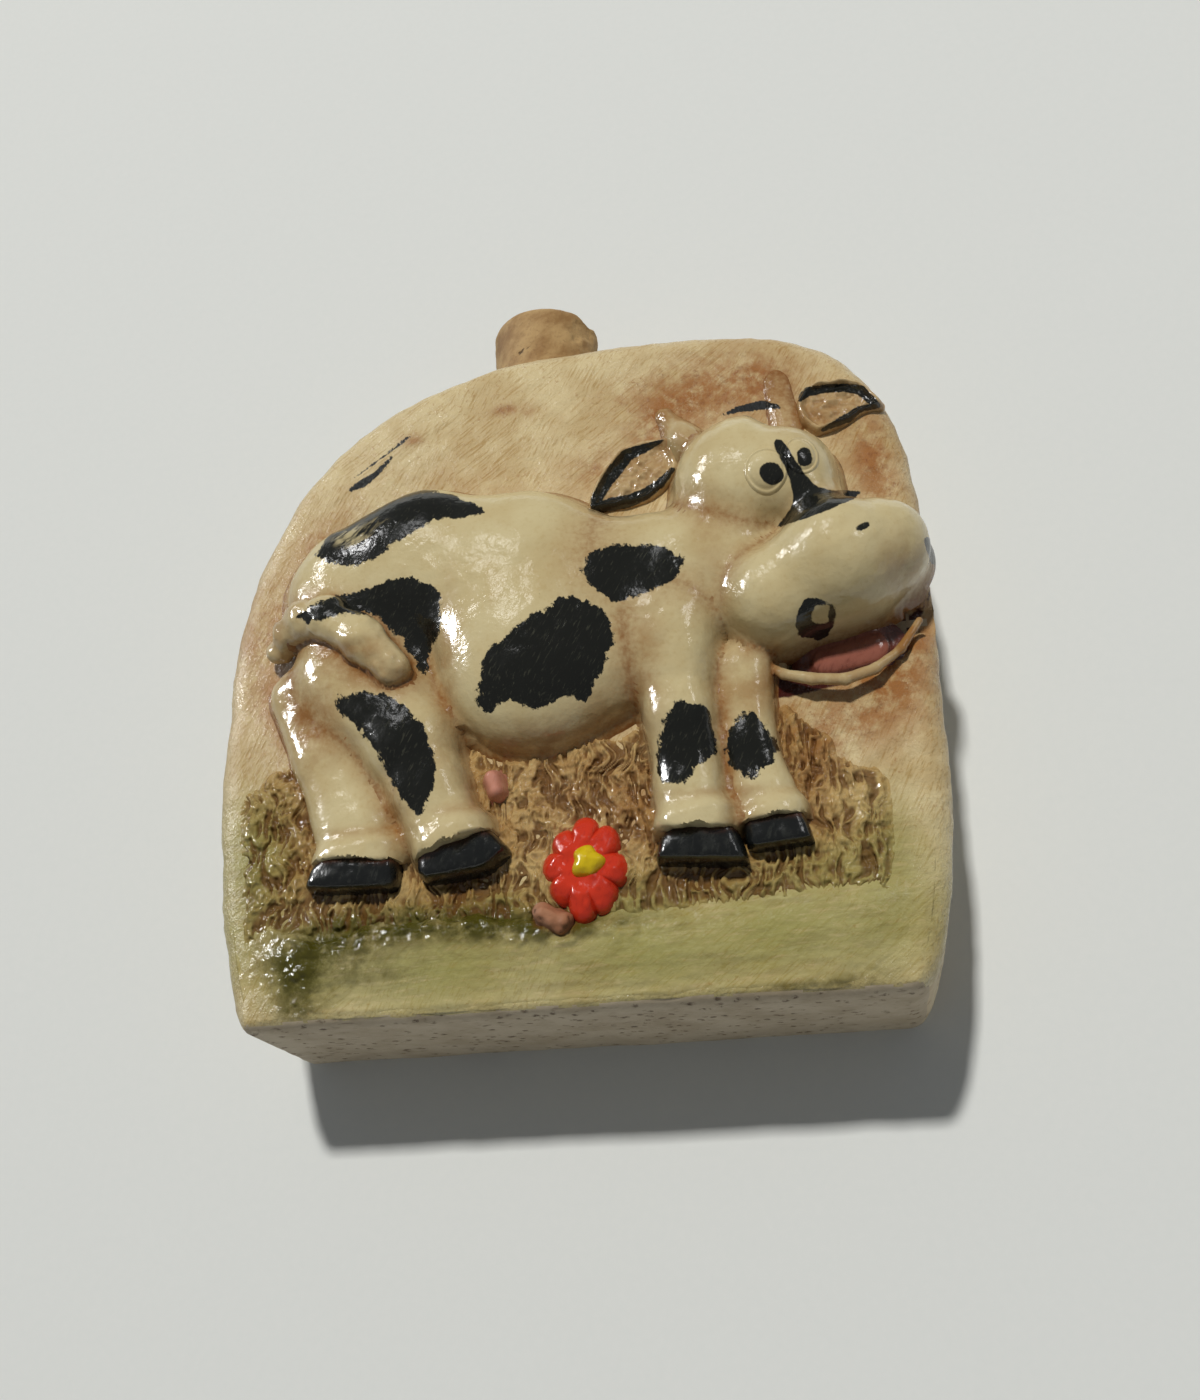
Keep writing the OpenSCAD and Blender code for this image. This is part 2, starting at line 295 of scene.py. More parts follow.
def grid_faces(rows: int, cols: int, closed: bool = True) -> Array:
    """Faces of a grid of points.

    Args:
        rows: Rows of points.
        cols: Points in a row.
        closed: Whether the last column joins the first.

    Returns:
        Four point numbers for each face.
    """
    r = np.arange(rows - 1)[:, None] * cols
    c = np.arange(cols if closed else cols - 1)[None, :]
    n = (c + 1) % cols
    return np.stack([r + c, r + n, r + cols + n, r + cols + c], -1).reshape(-1, 4)


def make_piece(name: str, rings: Array, caps: bool = True,
               sharp: float = 55.0) -> bpy.types.Object:
    """A closed piece from rings of points.

    The surface is a grid: the first parameter picks the ring, the second goes round it.

    Args:
        name: The piece's name.
        rings: Points in mm, as rings by points by three.
        caps: Whether the end rings are closed with a fan to their middles. Ends that
            are folded shut, or meet each other, need none.
        sharp: Angle in degrees above which an edge is drawn sharp.

    Returns:
        The object, at the origin.
    """
    rows, cols, _ = rings.shape
    points = rings.reshape(-1, 3)
    faces = grid_faces(rows, cols).tolist()
    if caps:
        ends = np.stack([rings[0].mean(axis=0), rings[-1].mean(axis=0)])
        points = np.concatenate([points, ends])
        ring = np.arange(cols)
        after = (ring + 1) % cols
        first, last = rows * cols, rows * cols + 1
        faces += np.stack([after, ring, np.full(cols, first)], 1).tolist()
        base = (rows - 1) * cols
        faces += np.stack([base + ring, base + after, np.full(cols, last)], 1).tolist()
    return finish_mesh(name, points, faces, sharp)


def sheet_piece(name: str, points: Array, back: float) -> bpy.types.Object:
    """A closed piece from a sheet whose border is carried straight back and closed.

    Args:
        name: The piece's name.
        points: Points in mm, as rows by columns by three.
        back: Depth in mm of the flat back.

    Returns:
        The object, at the origin.
    """
    rows, cols, _ = points.shape
    number = np.arange(rows * cols).reshape(rows, cols)
    outer = np.concatenate([number[0, :-1], number[:-1, -1], number[-1, :0:-1],
                            number[:0:-1, 0]])
    flat = points.reshape(-1, 3)
    under = flat[outer].copy()
    under[:, 1] = back
    middle = under.mean(axis=0)[None]
    ring = np.arange(len(outer))
    after = (ring + 1) % len(ring)
    first = rows * cols
    faces = grid_faces(rows, cols, False).tolist()
    faces += np.stack([outer, first + ring, first + after, outer[after]], 1).tolist()
    faces += np.stack([first + ring, np.full(len(ring), first + len(ring)), first + after],
                      1).tolist()
    return finish_mesh(name, np.concatenate([flat, under, middle]), faces, NO_SHARP)


def finish_mesh(name: str, points: Array, faces: list, sharp: float) -> bpy.types.Object:
    """Makes a mesh whose doubles are merged and whose faces point outwards.

    Args:
        name: The piece's name.
        points: Points in mm.
        faces: Point numbers of each face.
        sharp: Angle in degrees above which an edge is drawn sharp.

    Returns:
        The object, at the origin.
    """
    mesh = bpy.data.meshes.new(name)
    mesh.from_pydata((points * MM).tolist(), [], faces)
    work = bmesh.new()
    work.from_mesh(mesh)
    bmesh.ops.remove_doubles(work, verts=work.verts, dist=2e-7)
    bmesh.ops.dissolve_degenerate(work, edges=work.edges, dist=1e-7)
    loose = [v for v in work.verts if not v.link_faces]
    bmesh.ops.delete(work, geom=loose, context="VERTS")
    bmesh.ops.recalc_face_normals(work, faces=work.faces)
    work.to_mesh(mesh)
    work.free()
    mesh.shade_smooth()
    mesh.set_sharp_from_angle(angle=np.radians(sharp))
    piece = bpy.data.objects.new(name + CLAY, mesh)
    bpy.context.scene.collection.objects.link(piece)
    return piece


def read(items: Any, what: str) -> Array:
    """Three numbers of each item of a mesh, such as the places of its points."""
    flat = np.empty(len(items) * 3, np.float32)
    items.foreach_get(what, flat)
    return flat.reshape(-1, 3)


def note(piece: bpy.types.Object, name: str, values: Array) -> None:
    """Keeps one number a point in the mesh, for the materials to read."""
    layer = piece.data.attributes.new(name, "FLOAT", "POINT")
    layer.data.foreach_set("value", np.ascontiguousarray(values, np.float32))


def place(piece: bpy.types.Object, node: str, slot: str, *finishes: bpy.types.Material,
          body: str = "flask") -> None:
    """Gives a piece its finishes and puts it on its body, in a node's stead.

    Args:
        piece: The piece.
        node: The node that it replaces, or nothing.
        slot: Its material slot in the record; not used.
        finishes: Its materials, in the order of its faces' numbers.
        body: The body that it rides on.
    """
    for finish in finishes:
        piece.data.materials.append(finish)
    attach(piece, body)
    if node:
        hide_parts(node)
    LOG.info("%s on %s: %d faces", piece.name, body, len(piece.data.polygons))


# ---------------------------------------------------------------- relief

@dataclass(frozen=True)
class Form:
    """A rounded mass of clay on the front face, laid along a chain of beads.

    Each bead is x, z, radius and how far it stands proud, in mm. A hem is a point and a
    lean in degrees: the form is cut off raggedly below that line. The perch is the part
    of the height from which the skin's rays start. A tube is a round cord whose fourth
    number is the height of its middle over the face.
    """

    name: str
    beads: tuple[tuple[float, float, float, float], ...]
    power: float = 2.3
    blend: float = 1.4
    knit: float = 1.6
    lift: float = 0.0
    lumps: float = 0.12
    spacing: float = 0.5
    perch: float = 0.3
    hem: Optional[tuple[float, float, float]] = None
    tube: bool = False

    def distance(self, points: Array) -> Array:
        """Roughly how far points are outside the form.

        Across a link of the chain the section is the superellipse
        (gap / radius)^n + (height / proud)^n = 1, and links are joined softly.

        Args:
            points: Places, in mm.

        Returns:
            Distances in mm, below 0 inside.
        """
        x, z = points[..., 0], points[..., 2]
        high = FACE_Y - points[..., 1] - self.lift
        high = np.abs(high) if self.lift else np.maximum(high, 0.0)
        result: Optional[Array] = None
        for (ax, az, ar, ap), (bx, bz, br, bp) in zip(self.beads, self.beads[1:]):
            dx, dz = bx - ax, bz - az
            length = max(dx * dx + dz * dz, TINY)
            t = np.clip(((x - ax) * dx + (z - az) * dz) / length, 0.0, 1.0)
            s = t * t * (3.0 - 2.0 * t)
            radius, proud = ar + s * (br - ar), ap + s * (bp - ap)
            gap = np.hypot(x - ax - t * dx, z - az - t * dz)
            if self.tube:
                link = np.hypot(gap, FACE_Y - points[..., 1] - proud) - radius
            else:
                across = gap / radius
                shell = (across ** self.power + (high / proud) ** self.power) ** (1 / self.power)
                link = (shell - 1.0) * np.minimum(radius, proud)
            result = link if result is None else soft_min(result, link, self.knit)
        if self.hem is not None:
            lean = np.radians(self.hem[2])
            over = (z - self.hem[1]) * np.cos(lean) - (x - self.hem[0]) * np.sin(lean)
            result = np.maximum(result, 0.35 * FIBRE.at(points, 1.4) - over)
        return result

    def near(self, other: "Form") -> bool:
        """Whether two forms are close enough to touch."""
        return any(np.hypot(a[0] - b[0], a[1] - b[1]) < a[2] + b[2] + REACH
                   for a in self.beads for b in other.beads)

    def loop(self) -> tuple[Array, Array, Array, Array]:
        """A closed path round the chain, as a belt runs round its pulleys.

        Returns:
            Start points x and z, directions x and z, radius and proud height there.
        """
        beads = np.asarray(self.beads, float)
        runs = np.diff(beads[:, :2], axis=0)
        turn = np.unwrap(np.arctan2(runs[:, 1], runs[:, 0]))
        along = running(np.hypot(*runs.T))
        count = max(int(along[-1] / self.spacing), 1)
        place = np.linspace(0.0, along[-1], count + 1)
        side = walk(beads, along, place)
        heading = np.interp(place, (along[:-1] + along[1:]) / 2, turn)
        arc = max(int(np.pi * beads[:, 2].max() / self.spacing), 12)
        swing = np.linspace(0.0, np.pi, arc + 1)[1:-1]
        tip = np.repeat(side[-1:], len(swing), 0)
        tail = np.repeat(side[:1], len(swing), 0)
        start = np.concatenate([side, tip, side[::-1], tail])
        square = np.pi / 2
        angle = np.concatenate([heading - square, heading[-1] - square + swing,
                                heading[::-1] + square, heading[0] + square + swing])
        way = np.stack([np.cos(angle), np.sin(angle)], -1)
        return start[:, :2], way, start[:, 2], start[:, 3]


@dataclass(frozen=True)
class Relief:
    """All the forms, run into each other like wet clay.

    The skirt rounds the valley at the slab, overlap is how deep a form runs on under its
    neighbours, and the tucks draw it in where a neighbour or the slab lies over it. No
    form reaches the highest level, and the probe is the step that slopes are taken over.
    """

    forms: tuple[Form, ...]
    skirt: float = 1.2
    depth: float = 1.0
    overlap: float = 2.2
    tuck: float = 0.07
    slab_tuck: float = 0.3
    farthest_tuck: float = 6.0
    highest: float = 18.0
    probe: float = 0.05

    def union(self, points: Array, forms: Sequence[Form]) -> tuple[Array, list[Array]]:
        """Distance to the forms and the slab run together.

        Args:
            points: Places, in mm.
            forms: The forms that count here.

        Returns:
            The joined distance, and each form's own.
        """
        high = FACE_Y - points[..., 1]
        total = high
        each = [form.distance(points) for form in forms]
        for form, gap in zip(forms, each):
            total = soft_min(total, gap, self.skirt if total is high else form.blend)
        return total, each

    def swell(self, points: Array, form: Form) -> Array:
        """Hand-made unevenness of the clay: soft lumps and finer ones on them."""
        return form.lumps * (LUMPS.rough(points, 4.5, 2) + 0.4 * LUMPS.at(points, 1.1))

    def skin(self, name: str, rows: int = 56) -> Array:
        """The surface of one form, cut where its neighbours take over.

        The two parameters are the place along the belt round the chain and the angle
        from straight out to straight back. From each start a ray is walked by the
        distance left, to where the joined distance is 0, or the form's own reaches
        the overlap, or the back is met.

        Args:
            name: The form.
            rows: Steps of the angle.

        Returns:
            Rings of points, in mm.
        """
        own = next(form for form in self.forms if form.name == name)
        forms = [form for form in self.forms if form.near(own)]
        mine = forms.index(own)
        start, way, radius, proud = own.loop()
        angle = np.linspace(np.pi / 2, -np.pi / 2, rows)[:, None]
        flat = np.cos(angle) * radius
        up = np.sin(angle) * (radius if own.tube else proud)
        size = np.hypot(flat, up)
        flat, up = flat / size, up / size
        ray = np.stack([flat * way[:, 0], -up, flat * way[:, 1]], -1)
        rise = proud if own.tube else own.lift + own.perch * proud
        overlap = np.minimum(self.overlap, 0.55 * radius)
        origin = spots(start[:, 0], FACE_Y - rise, start[:, 1])[None]
        length = np.full(ray.shape[:2], 0.3)
        for _ in range(26):
            spot = origin + ray * length[..., None]
            total, each = self.union(spot, forms)
            high = FACE_Y - spot[..., 1]
            over = each[mine]
            others = [d for k, d in enumerate(each) if k != mine]
            beyond = over - np.minimum.reduce(others) if others else 0.0 * high
            tucked = (total + self.tuck * np.clip(beyond, 0.0, self.farthest_tuck)
                      + self.slab_tuck * np.clip(over - high, 0.0, self.farthest_tuck))
            gap = np.maximum.reduce([tucked, over - overlap, -self.depth - high])
            length = np.maximum(length - 0.85 * gap, self.probe)
        spot = origin + ray * length[..., None]
        here = self.union(spot, forms)[0]
        out = np.stack([self.union(spot + self.probe * axis, forms)[0] - here
                        for axis in np.eye(3)], -1)
        out /= np.maximum(np.linalg.norm(out, axis=-1, keepdims=True), 1e-6)
        return spot + out * self.swell(spot, own)[..., None]

    def height(self, x: Array, z: Array, names: Sequence[str]) -> Array:
        """Height of the joined surface over the face.

        Args:
            x: Places across.
            z: Places up.
            names: The forms that count.

        Returns:
            Heights in mm, walked down from above by the distance left.
        """
        forms = [form for form in self.forms if form.name in names]
        high = np.full(np.shape(x), self.highest)
        for _ in range(30):
            high = high - 0.8 * self.union(spots(x, FACE_Y - high, z), forms)[0]
        return high

    def nearest(self, points: Array, skip: str = "") -> Array:
        """Distance from points to the nearest form other than skip."""
        return np.minimum.reduce([f.distance(points) for f in self.forms if f.name != skip])


# ---------------------------------------------------------------- paint layout

PATCHES = (
    # back
    ((-37.4, 70.3), (-33, 75.3), (-27.2, 78.3), (-21.3, 79.1), (-16.3, 77.4), (-10.1, 73.8),
     (-16.3, 73.7), (-21.3, 72.8), (-25.5, 69.9), (-29.7, 67.4), (-34.7, 67.8)),
    # haunch
    ((-40.3, 60.0), (-36.3, 62), (-28.8, 63.9), (-23.8, 65.1), (-18.2, 62.2), (-17.8, 57.8),
     (-19.0, 52.8), (-20.1, 47.8), (-22.6, 52.8), (-24.9, 56.4), (-28, 59.3), (-33, 59.6),
     (-37.2, 58.7)),
    # thigh
    ((-34, 46.7), (-27.2, 47.1), (-23.6, 44.8), (-20.6, 41.5), (-18.5, 37), (-18.5, 32.3),
     (-20.5, 27.4), (-23.2, 30.3), (-24.9, 34.5), (-27.4, 38.7), (-31.3, 43.3)),
    # flank
    ((-12.2, 42.6), (-11.8, 50.3), (-8, 54.7), (-4.7, 56.4), (0.8, 59), (4.1, 57.8),
     (7.2, 53.7), (6.8, 49.5), (4.4, 45.3), (2.3, 41.8), (0.3, 43.9), (-3.8, 41.4),
     (-8, 43.8), (-10.5, 42.2)),
    # shoulder
    ((3.2, 65.1), (5.3, 65.9), (11.2, 66.3), (15.7, 65.1), (17.8, 62.4), (15.5, 59.3),
     (11.2, 58), (7, 56.6), (5.1, 59.5), (3.2, 61.6)),
    # near foreleg
    ((13.6, 38.9), (15.8, 41.7), (19.3, 40.2), (20.1, 36.2), (20.8, 33.3), (17.4, 31.8),
     (15.8, 29.4), (12, 30.1), (12.7, 35.3)),
    # far foreleg
    ((21.8, 36.6), (25.3, 39.1), (27.6, 36.6), (28.8, 32), (24.5, 29.1), (21.4, 32.4)),
)

STROKES = (
    # above the head
    ((23.9, 85.6, 0.15), (26.6, 86.3, 0.55), (30.1, 86.6, 0.85), (32.6, 85.9, 0.3)),
    # near ear, upper and lower edge
    ((15.2, 82.5, 0.3), (12.5, 81.6, 0.8), (10, 80.8, 1.1), (8.2, 78.6, 1.2),
     (6.5, 76.2, 1.0), (5.2, 73.8, 0.9), (5.3, 72.6, 0.9)),
    ((5.3, 72.6, 0.9), (7.5, 72.9, 1.15), (10, 73.1, 1.1), (12.3, 73.9, 1.0),
     (14.5, 75.3, 0.8), (16.5, 77.5, 0.45)),
    # far ear, upper and lower edge
    ((35.7, 86.9, 0.5), (36.9, 87.9, 0.85), (39.5, 88.1, 0.75), (42, 87.9, 0.75),
     (44.3, 87.2, 0.85), (46.4, 84.3, 0.6)),
    ((46.4, 84.2, 0.55), (44.0, 84.0, 0.55), (42.1, 82.7, 0.8), (40.3, 82.0, 0.6),
     (38.5, 81.2, 0.3)),
    # pupils
    ((30.5, 75.4, 1.55), (30.9, 74.7, 1.6)),
    ((35.5, 77.7, 1.0), (35.6, 76.6, 1.05)),
    # spots on the muzzle
    ((42.3, 64.8, 0.55), (43.2, 65.2, 0.5)),
    ((51.2, 61.8, 0.5), (51.9, 58.6, 0.7)),
    # upper left of the slab
    ((-31.5, 82.3, 0.12), (-28.2, 84.6, 0.16), (-25.2, 86.8, 0.22), (-23.2, 88.3, 0.35)),
    ((-32.2, 80.2, 0.35), (-30.2, 81.2, 0.75), (-28, 82.6, 0.5), (-25.6, 85.4, 0.25)),
)

BLAZE = ((31.4, 80.3), (32.2, 80.9), (33.3, 79.2), (33.9, 77.6), (34.7, 75.9), (35.7, 73.8),
         (36.8, 72.2), (38.9, 71.2), (41.2, 71.0), (43.2, 70.5), (42.4, 69.6), (40.5, 69.0),
         (37.8, 68.0), (35.1, 67.2), (32.8, 66.7), (30.6, 66.0), (31.6, 67.4), (32.8, 68.8),
         (33.4, 70.0), (33.4, 71.8), (33.2, 73.4), (32.8, 75.3), (32.2, 77.2), (31.4, 79.2))

STAINS = (
    (20, 90, 9, 6, 0.85), (29, 91, 5, 4.5, 0.7), (14, 84, 4, 4.5, 0.6), (6, 79, 4, 3, 0.55),
    (45, 76, 3.5, 8, 0.85), (47, 66, 3, 6, 0.7), (41, 83, 5, 3, 0.35),
    (44, 42, 6, 7, 0.85), (38, 36, 7, 4, 0.6), (48, 50, 3, 6, 0.8), (33, 33, 4, 6, 0.5),
    (-45, 56, 4, 8, 0.5), (-39, 61, 3.5, 5, 0.45), (-40, 47, 4, 4, 0.75), (-37, 40, 4, 7, 0.5),
    (-36, 28, 6, 9, 0.5), (-28, 12.5, 7, 2, 0.6), (-14, 15.5, 6, 2.5, 0.55), (5, 28, 9, 8, 0.55),
    (9, 91, 3, 1.5, 0.35), (-8, 91, 2.2, 0.9, 0.8), (-4.6, 90.6, 0.9, 1.1, 0.8),
    (-22.5, 87.6, 1.6, 0.9, 0.7), (-36.5, 71, 3, 4, 0.45), (18, 15.5, 10, 2.5, 0.6),
)
# Brown marks on the hide. Some are real stains: the muzzle's speckles, the lip's brown and the
# ochre on the far hind leg. The rest are painted shade: along the belly's lower edge, in the
# narrow valleys at the legs' edges, in the creases above the hooves and round the horns.
HIDE_STAINS_AND_SHADE = (
    (-4, 37, 13, 3.2, 0.7), (6, 41, 5, 5, 0.5), (48, 58, 4, 5, 0.6), (-30, 50, 7, 3, 0.55),
    (12, 47, 2.0, 8, 0.5), (21, 66, 2.5, 7, 0.4), (-17, 50, 1.6, 12, 0.6),
    (-24, 31, 2, 9, 0.55), (-38, 41, 4, 6, 0.45), (26, 42, 3, 4, 0.6), (22, 33, 1.2, 9, 0.6),
    (38, 41.5, 12, 3.0, 0.75), (-12, 30, 3, 3, 0.5), (36, 84, 4, 3, 0.4), (17, 84, 3, 3, 0.45),
    (33, 90, 2.5, 5, 0.3), (28, 47.5, 4, 1.5, 0.5), (-42, 60, 3, 8, 0.5),
    (47.5, 47.5, 4, 4, 0.9), (-28.5, 26.4, 7, 0.7, 0.55), (-16, 28.6, 6, 0.7, 0.5),
    (18, 28, 6, 0.7, 0.5), (27, 27.6, 5, 0.7, 0.5), (15.5, 87, 2, 3, 0.4),
    (-35.5, 43, 3.5, 8, 0.55), (-31, 53.8, 6, 2, 0.7), (-22, 49, 2, 4, 0.5),
)
GREENS = (
    (-44, 24, 7, 10, 0.9), (-46, 12, 5, 8, 0.6), (42, 18, 5, 8, 0.75), (40, 9, 11, 9, 0.8),
    (10, 7, 18, 8, 0.95), (-18, 7, 18, 8, 0.95), (27, 9, 12, 7, 0.95), (-36, 8, 7, 7, 0.8),
    (8, 14, 5, 3, 0.7), (-9.5, 15, 3, 2, 0.7), (33, 17, 7, 3, 0.5),
)
OLIVES = (
    (-37, 8, 5, 5.5, 0.85), (-31, 12.3, 6, 3.2, 0.95), (-22, 13.0, 6, 2.8, 0.95),
    (-12, 12.4, 6, 2.6, 0.95), (-2, 11.4, 7, 2.2, 0.9), (-28, 7, 8, 2.5, 0.45),
    (10, 11.5, 6, 1.5, 0.4), (30, 1.5, 9, 1.2, 0.5),
    (-36, 2.4, 6, 1.6, 0.5), (8, 1.2, 14, 1.0, 0.35), (-43, 20, 3, 9, 0.35), (38, 3, 6, 2, 0.3),
)
SCRAPES = ((-31.6, 72.2, 3.6, 2.0, 0.95), (-27.5, 74.5, 2.5, 1.2, 0.5))
# The first is a painted shadow under the lower lip. The second is the mouth's dark red inside: its
# own paint, and painted shade of the cavity.
MOUTH_PAINT_AND_SHADE = (
    ((28.6, 43.6), (28.7, 40.3), (31.2, 40.4), (34.7, 41.0), (38.9, 41.6), (36, 42.6),
     (32, 43.4)),
    ((32, 46.6), (36, 47.2), (41, 48.2), (46.2, 49.8), (49.4, 52), (51.6, 56),
     (50.8, 53.2), (49.3, 50.5), (47.4, 47.9), (45.1, 45.9), (42.6, 44.4), (39.3, 43.2),
     (35, 44.3)),
)
SLAB_PIECES = ("front_slab", "grass", "ground_bank")
POCKET_DEPTH = 3.5
POCKET = Form("pocket", tuple((*bead, POCKET_DEPTH) for bead in (
    (32.5, 45.0, 1.6), (38, 45.4, 2.7), (44, 48, 2.8), (47.6, 51.6, 1.8))), power=3.0)


class Paint:
    """Writes on a piece how much of each colour lies at each of its points."""

    def __init__(self, relief: Relief) -> None:
        """Keeps the relief, whose valleys hold dirt."""
        self.relief = relief

    def lay(self, piece: bpy.types.Object, own: str = "", dirt: float = 1.0) -> None:
        """Adds the colour layers to a piece.

        Args:
            piece: The piece.
            own: Its form's name, which doesn't count as its own neighbour.
            dirt: How brown its creases next to other forms grow.
        """
        points = read(piece.data.vertices, "co").astype(float) / MM
        place = seen(points)
        front = smooth_step(points[:, 1], -9.0, -11.5)
        fine = [stroke_depth(s, place) for s in STROKES] + [patch_depth(BLAZE, place)]
        # the ring on the muzzle: between two rounded squares that lean with it
        lean = (place - (35.1, 51.6)) @ np.array([[0.95, 0.3], [-0.3, 0.95]])
        ring = (np.abs(lean[:, 0]) ** 3 + np.abs(lean[:, 1] * 0.86) ** 3) ** (1 / 3)
        hole = (np.abs(lean[:, 0] - 0.5) ** 3 + np.abs(lean[:, 1] * 0.8 - 0.6) ** 3) ** (1 / 3)
        fine.append(np.minimum(2.6 - ring, hole - 1.15) + 0.3 * FIBRE.at(points, 0.9))
        marks = STAINS if piece.name.removesuffix(CLAY) in SLAB_PIECES else HIDE_STAINS_AND_SHADE
        dark = np.maximum.reduce([patch_depth(p, place) for p in MOUTH_PAINT_AND_SHADE])
        gap = np.maximum(self.relief.nearest(points, own), 0.0)
        if own:
            gap = np.minimum(gap, np.maximum(FACE_Y - points[:, 1], 0.0))
        layers = {
            "ink": np.maximum.reduce([patch_depth(p, place) for p in PATCHES]),
            "line": np.where(front > 0.5, np.maximum.reduce(fine), BARE),
            # stains on the slab; on the hide, stains and painted shade
            "stain": cloud(marks, place) * front,
            "worn": cloud(SCRAPES, place),
            "green": cloud(GREENS, place) * front,
            "olive": cloud(OLIVES, place) * front,
            "dark": np.where(front > 0.5, dark, BARE),
            # browner in the creases: the nearer another form or the slab, the browner
            "dirt": dirt * np.exp(-gap / 1.1) * front,
            # painted shade: a soft brown within a few mm of other forms and of the slab
            "halo": np.exp(-gap / 4.5) * front,
        }
        for name, values in layers.items():
            note(piece, name, values)

    def dress(self, piece: bpy.types.Object, finish: bpy.types.Material, node: str,
              slot: str, own: str, dirt: float = 1.0) -> bpy.types.Object:
        """Paints a piece of the flask, gives it its finish and places it.

        Args:
            piece: The piece.
            finish: Its material.
            node: The node that it replaces, or nothing.
            slot: Its material slot in the record.
            own: Its form's name, or nothing.
            dirt: How brown its creases next to other forms grow.

        Returns:
            The piece.
        """
        self.lay(piece, own, dirt)
        place(piece, node, slot, finish)
        return piece


# ---------------------------------------------------------------- shaders

Number = Union[float, "Wire"]


def operator(operation: str, reflected: bool = False) -> Callable[["Wire", Number], "Wire"]:
    """An operator of a wire.

    Args:
        operation: The Math node's operation.
        reflected: Whether the wire stands on the right.

    Returns:
        The method, which adds the node.
    """
    def method(self: "Wire", other: Number) -> "Wire":
        """Adds the Math node."""
        return self.bench.maths(operation, *((other, self) if reflected else (self, other)))

    return method


class Wire:
    """A value in a shader. Arithmetic on it adds Math nodes."""

    def __init__(self, bench: "Bench", socket: Optional[bpy.types.NodeSocket]) -> None:
        """Wraps an output socket of the material being made."""
        self.bench = bench
        self.socket = socket

    __add__, __radd__ = operator("ADD"), operator("ADD", True)
    __sub__, __rsub__ = operator("SUBTRACT"), operator("SUBTRACT", True)
    __mul__, __rmul__ = operator("MULTIPLY"), operator("MULTIPLY", True)

    def step(self, low: float, high: float) -> "Wire":
        """A smooth step from 0 at low to 1 at high."""
        return self.bench.add(
            "ShaderNodeMapRange", {"interpolation_type": "SMOOTHSTEP"},
            {"Value": self, "From Min": low, "From Max": high})


def shade(red: int, green: int, blue: int) -> tuple[float, float, float, float]:
    """A display colour, 0 to 255 a channel, as the linear colour that shaders use."""
    linear = (((c / 255 + 0.055) / 1.055) ** 2.4 if c > 10 else c / 255 / 12.92
              for c in (red, green, blue))
    return (*linear, 1.0)


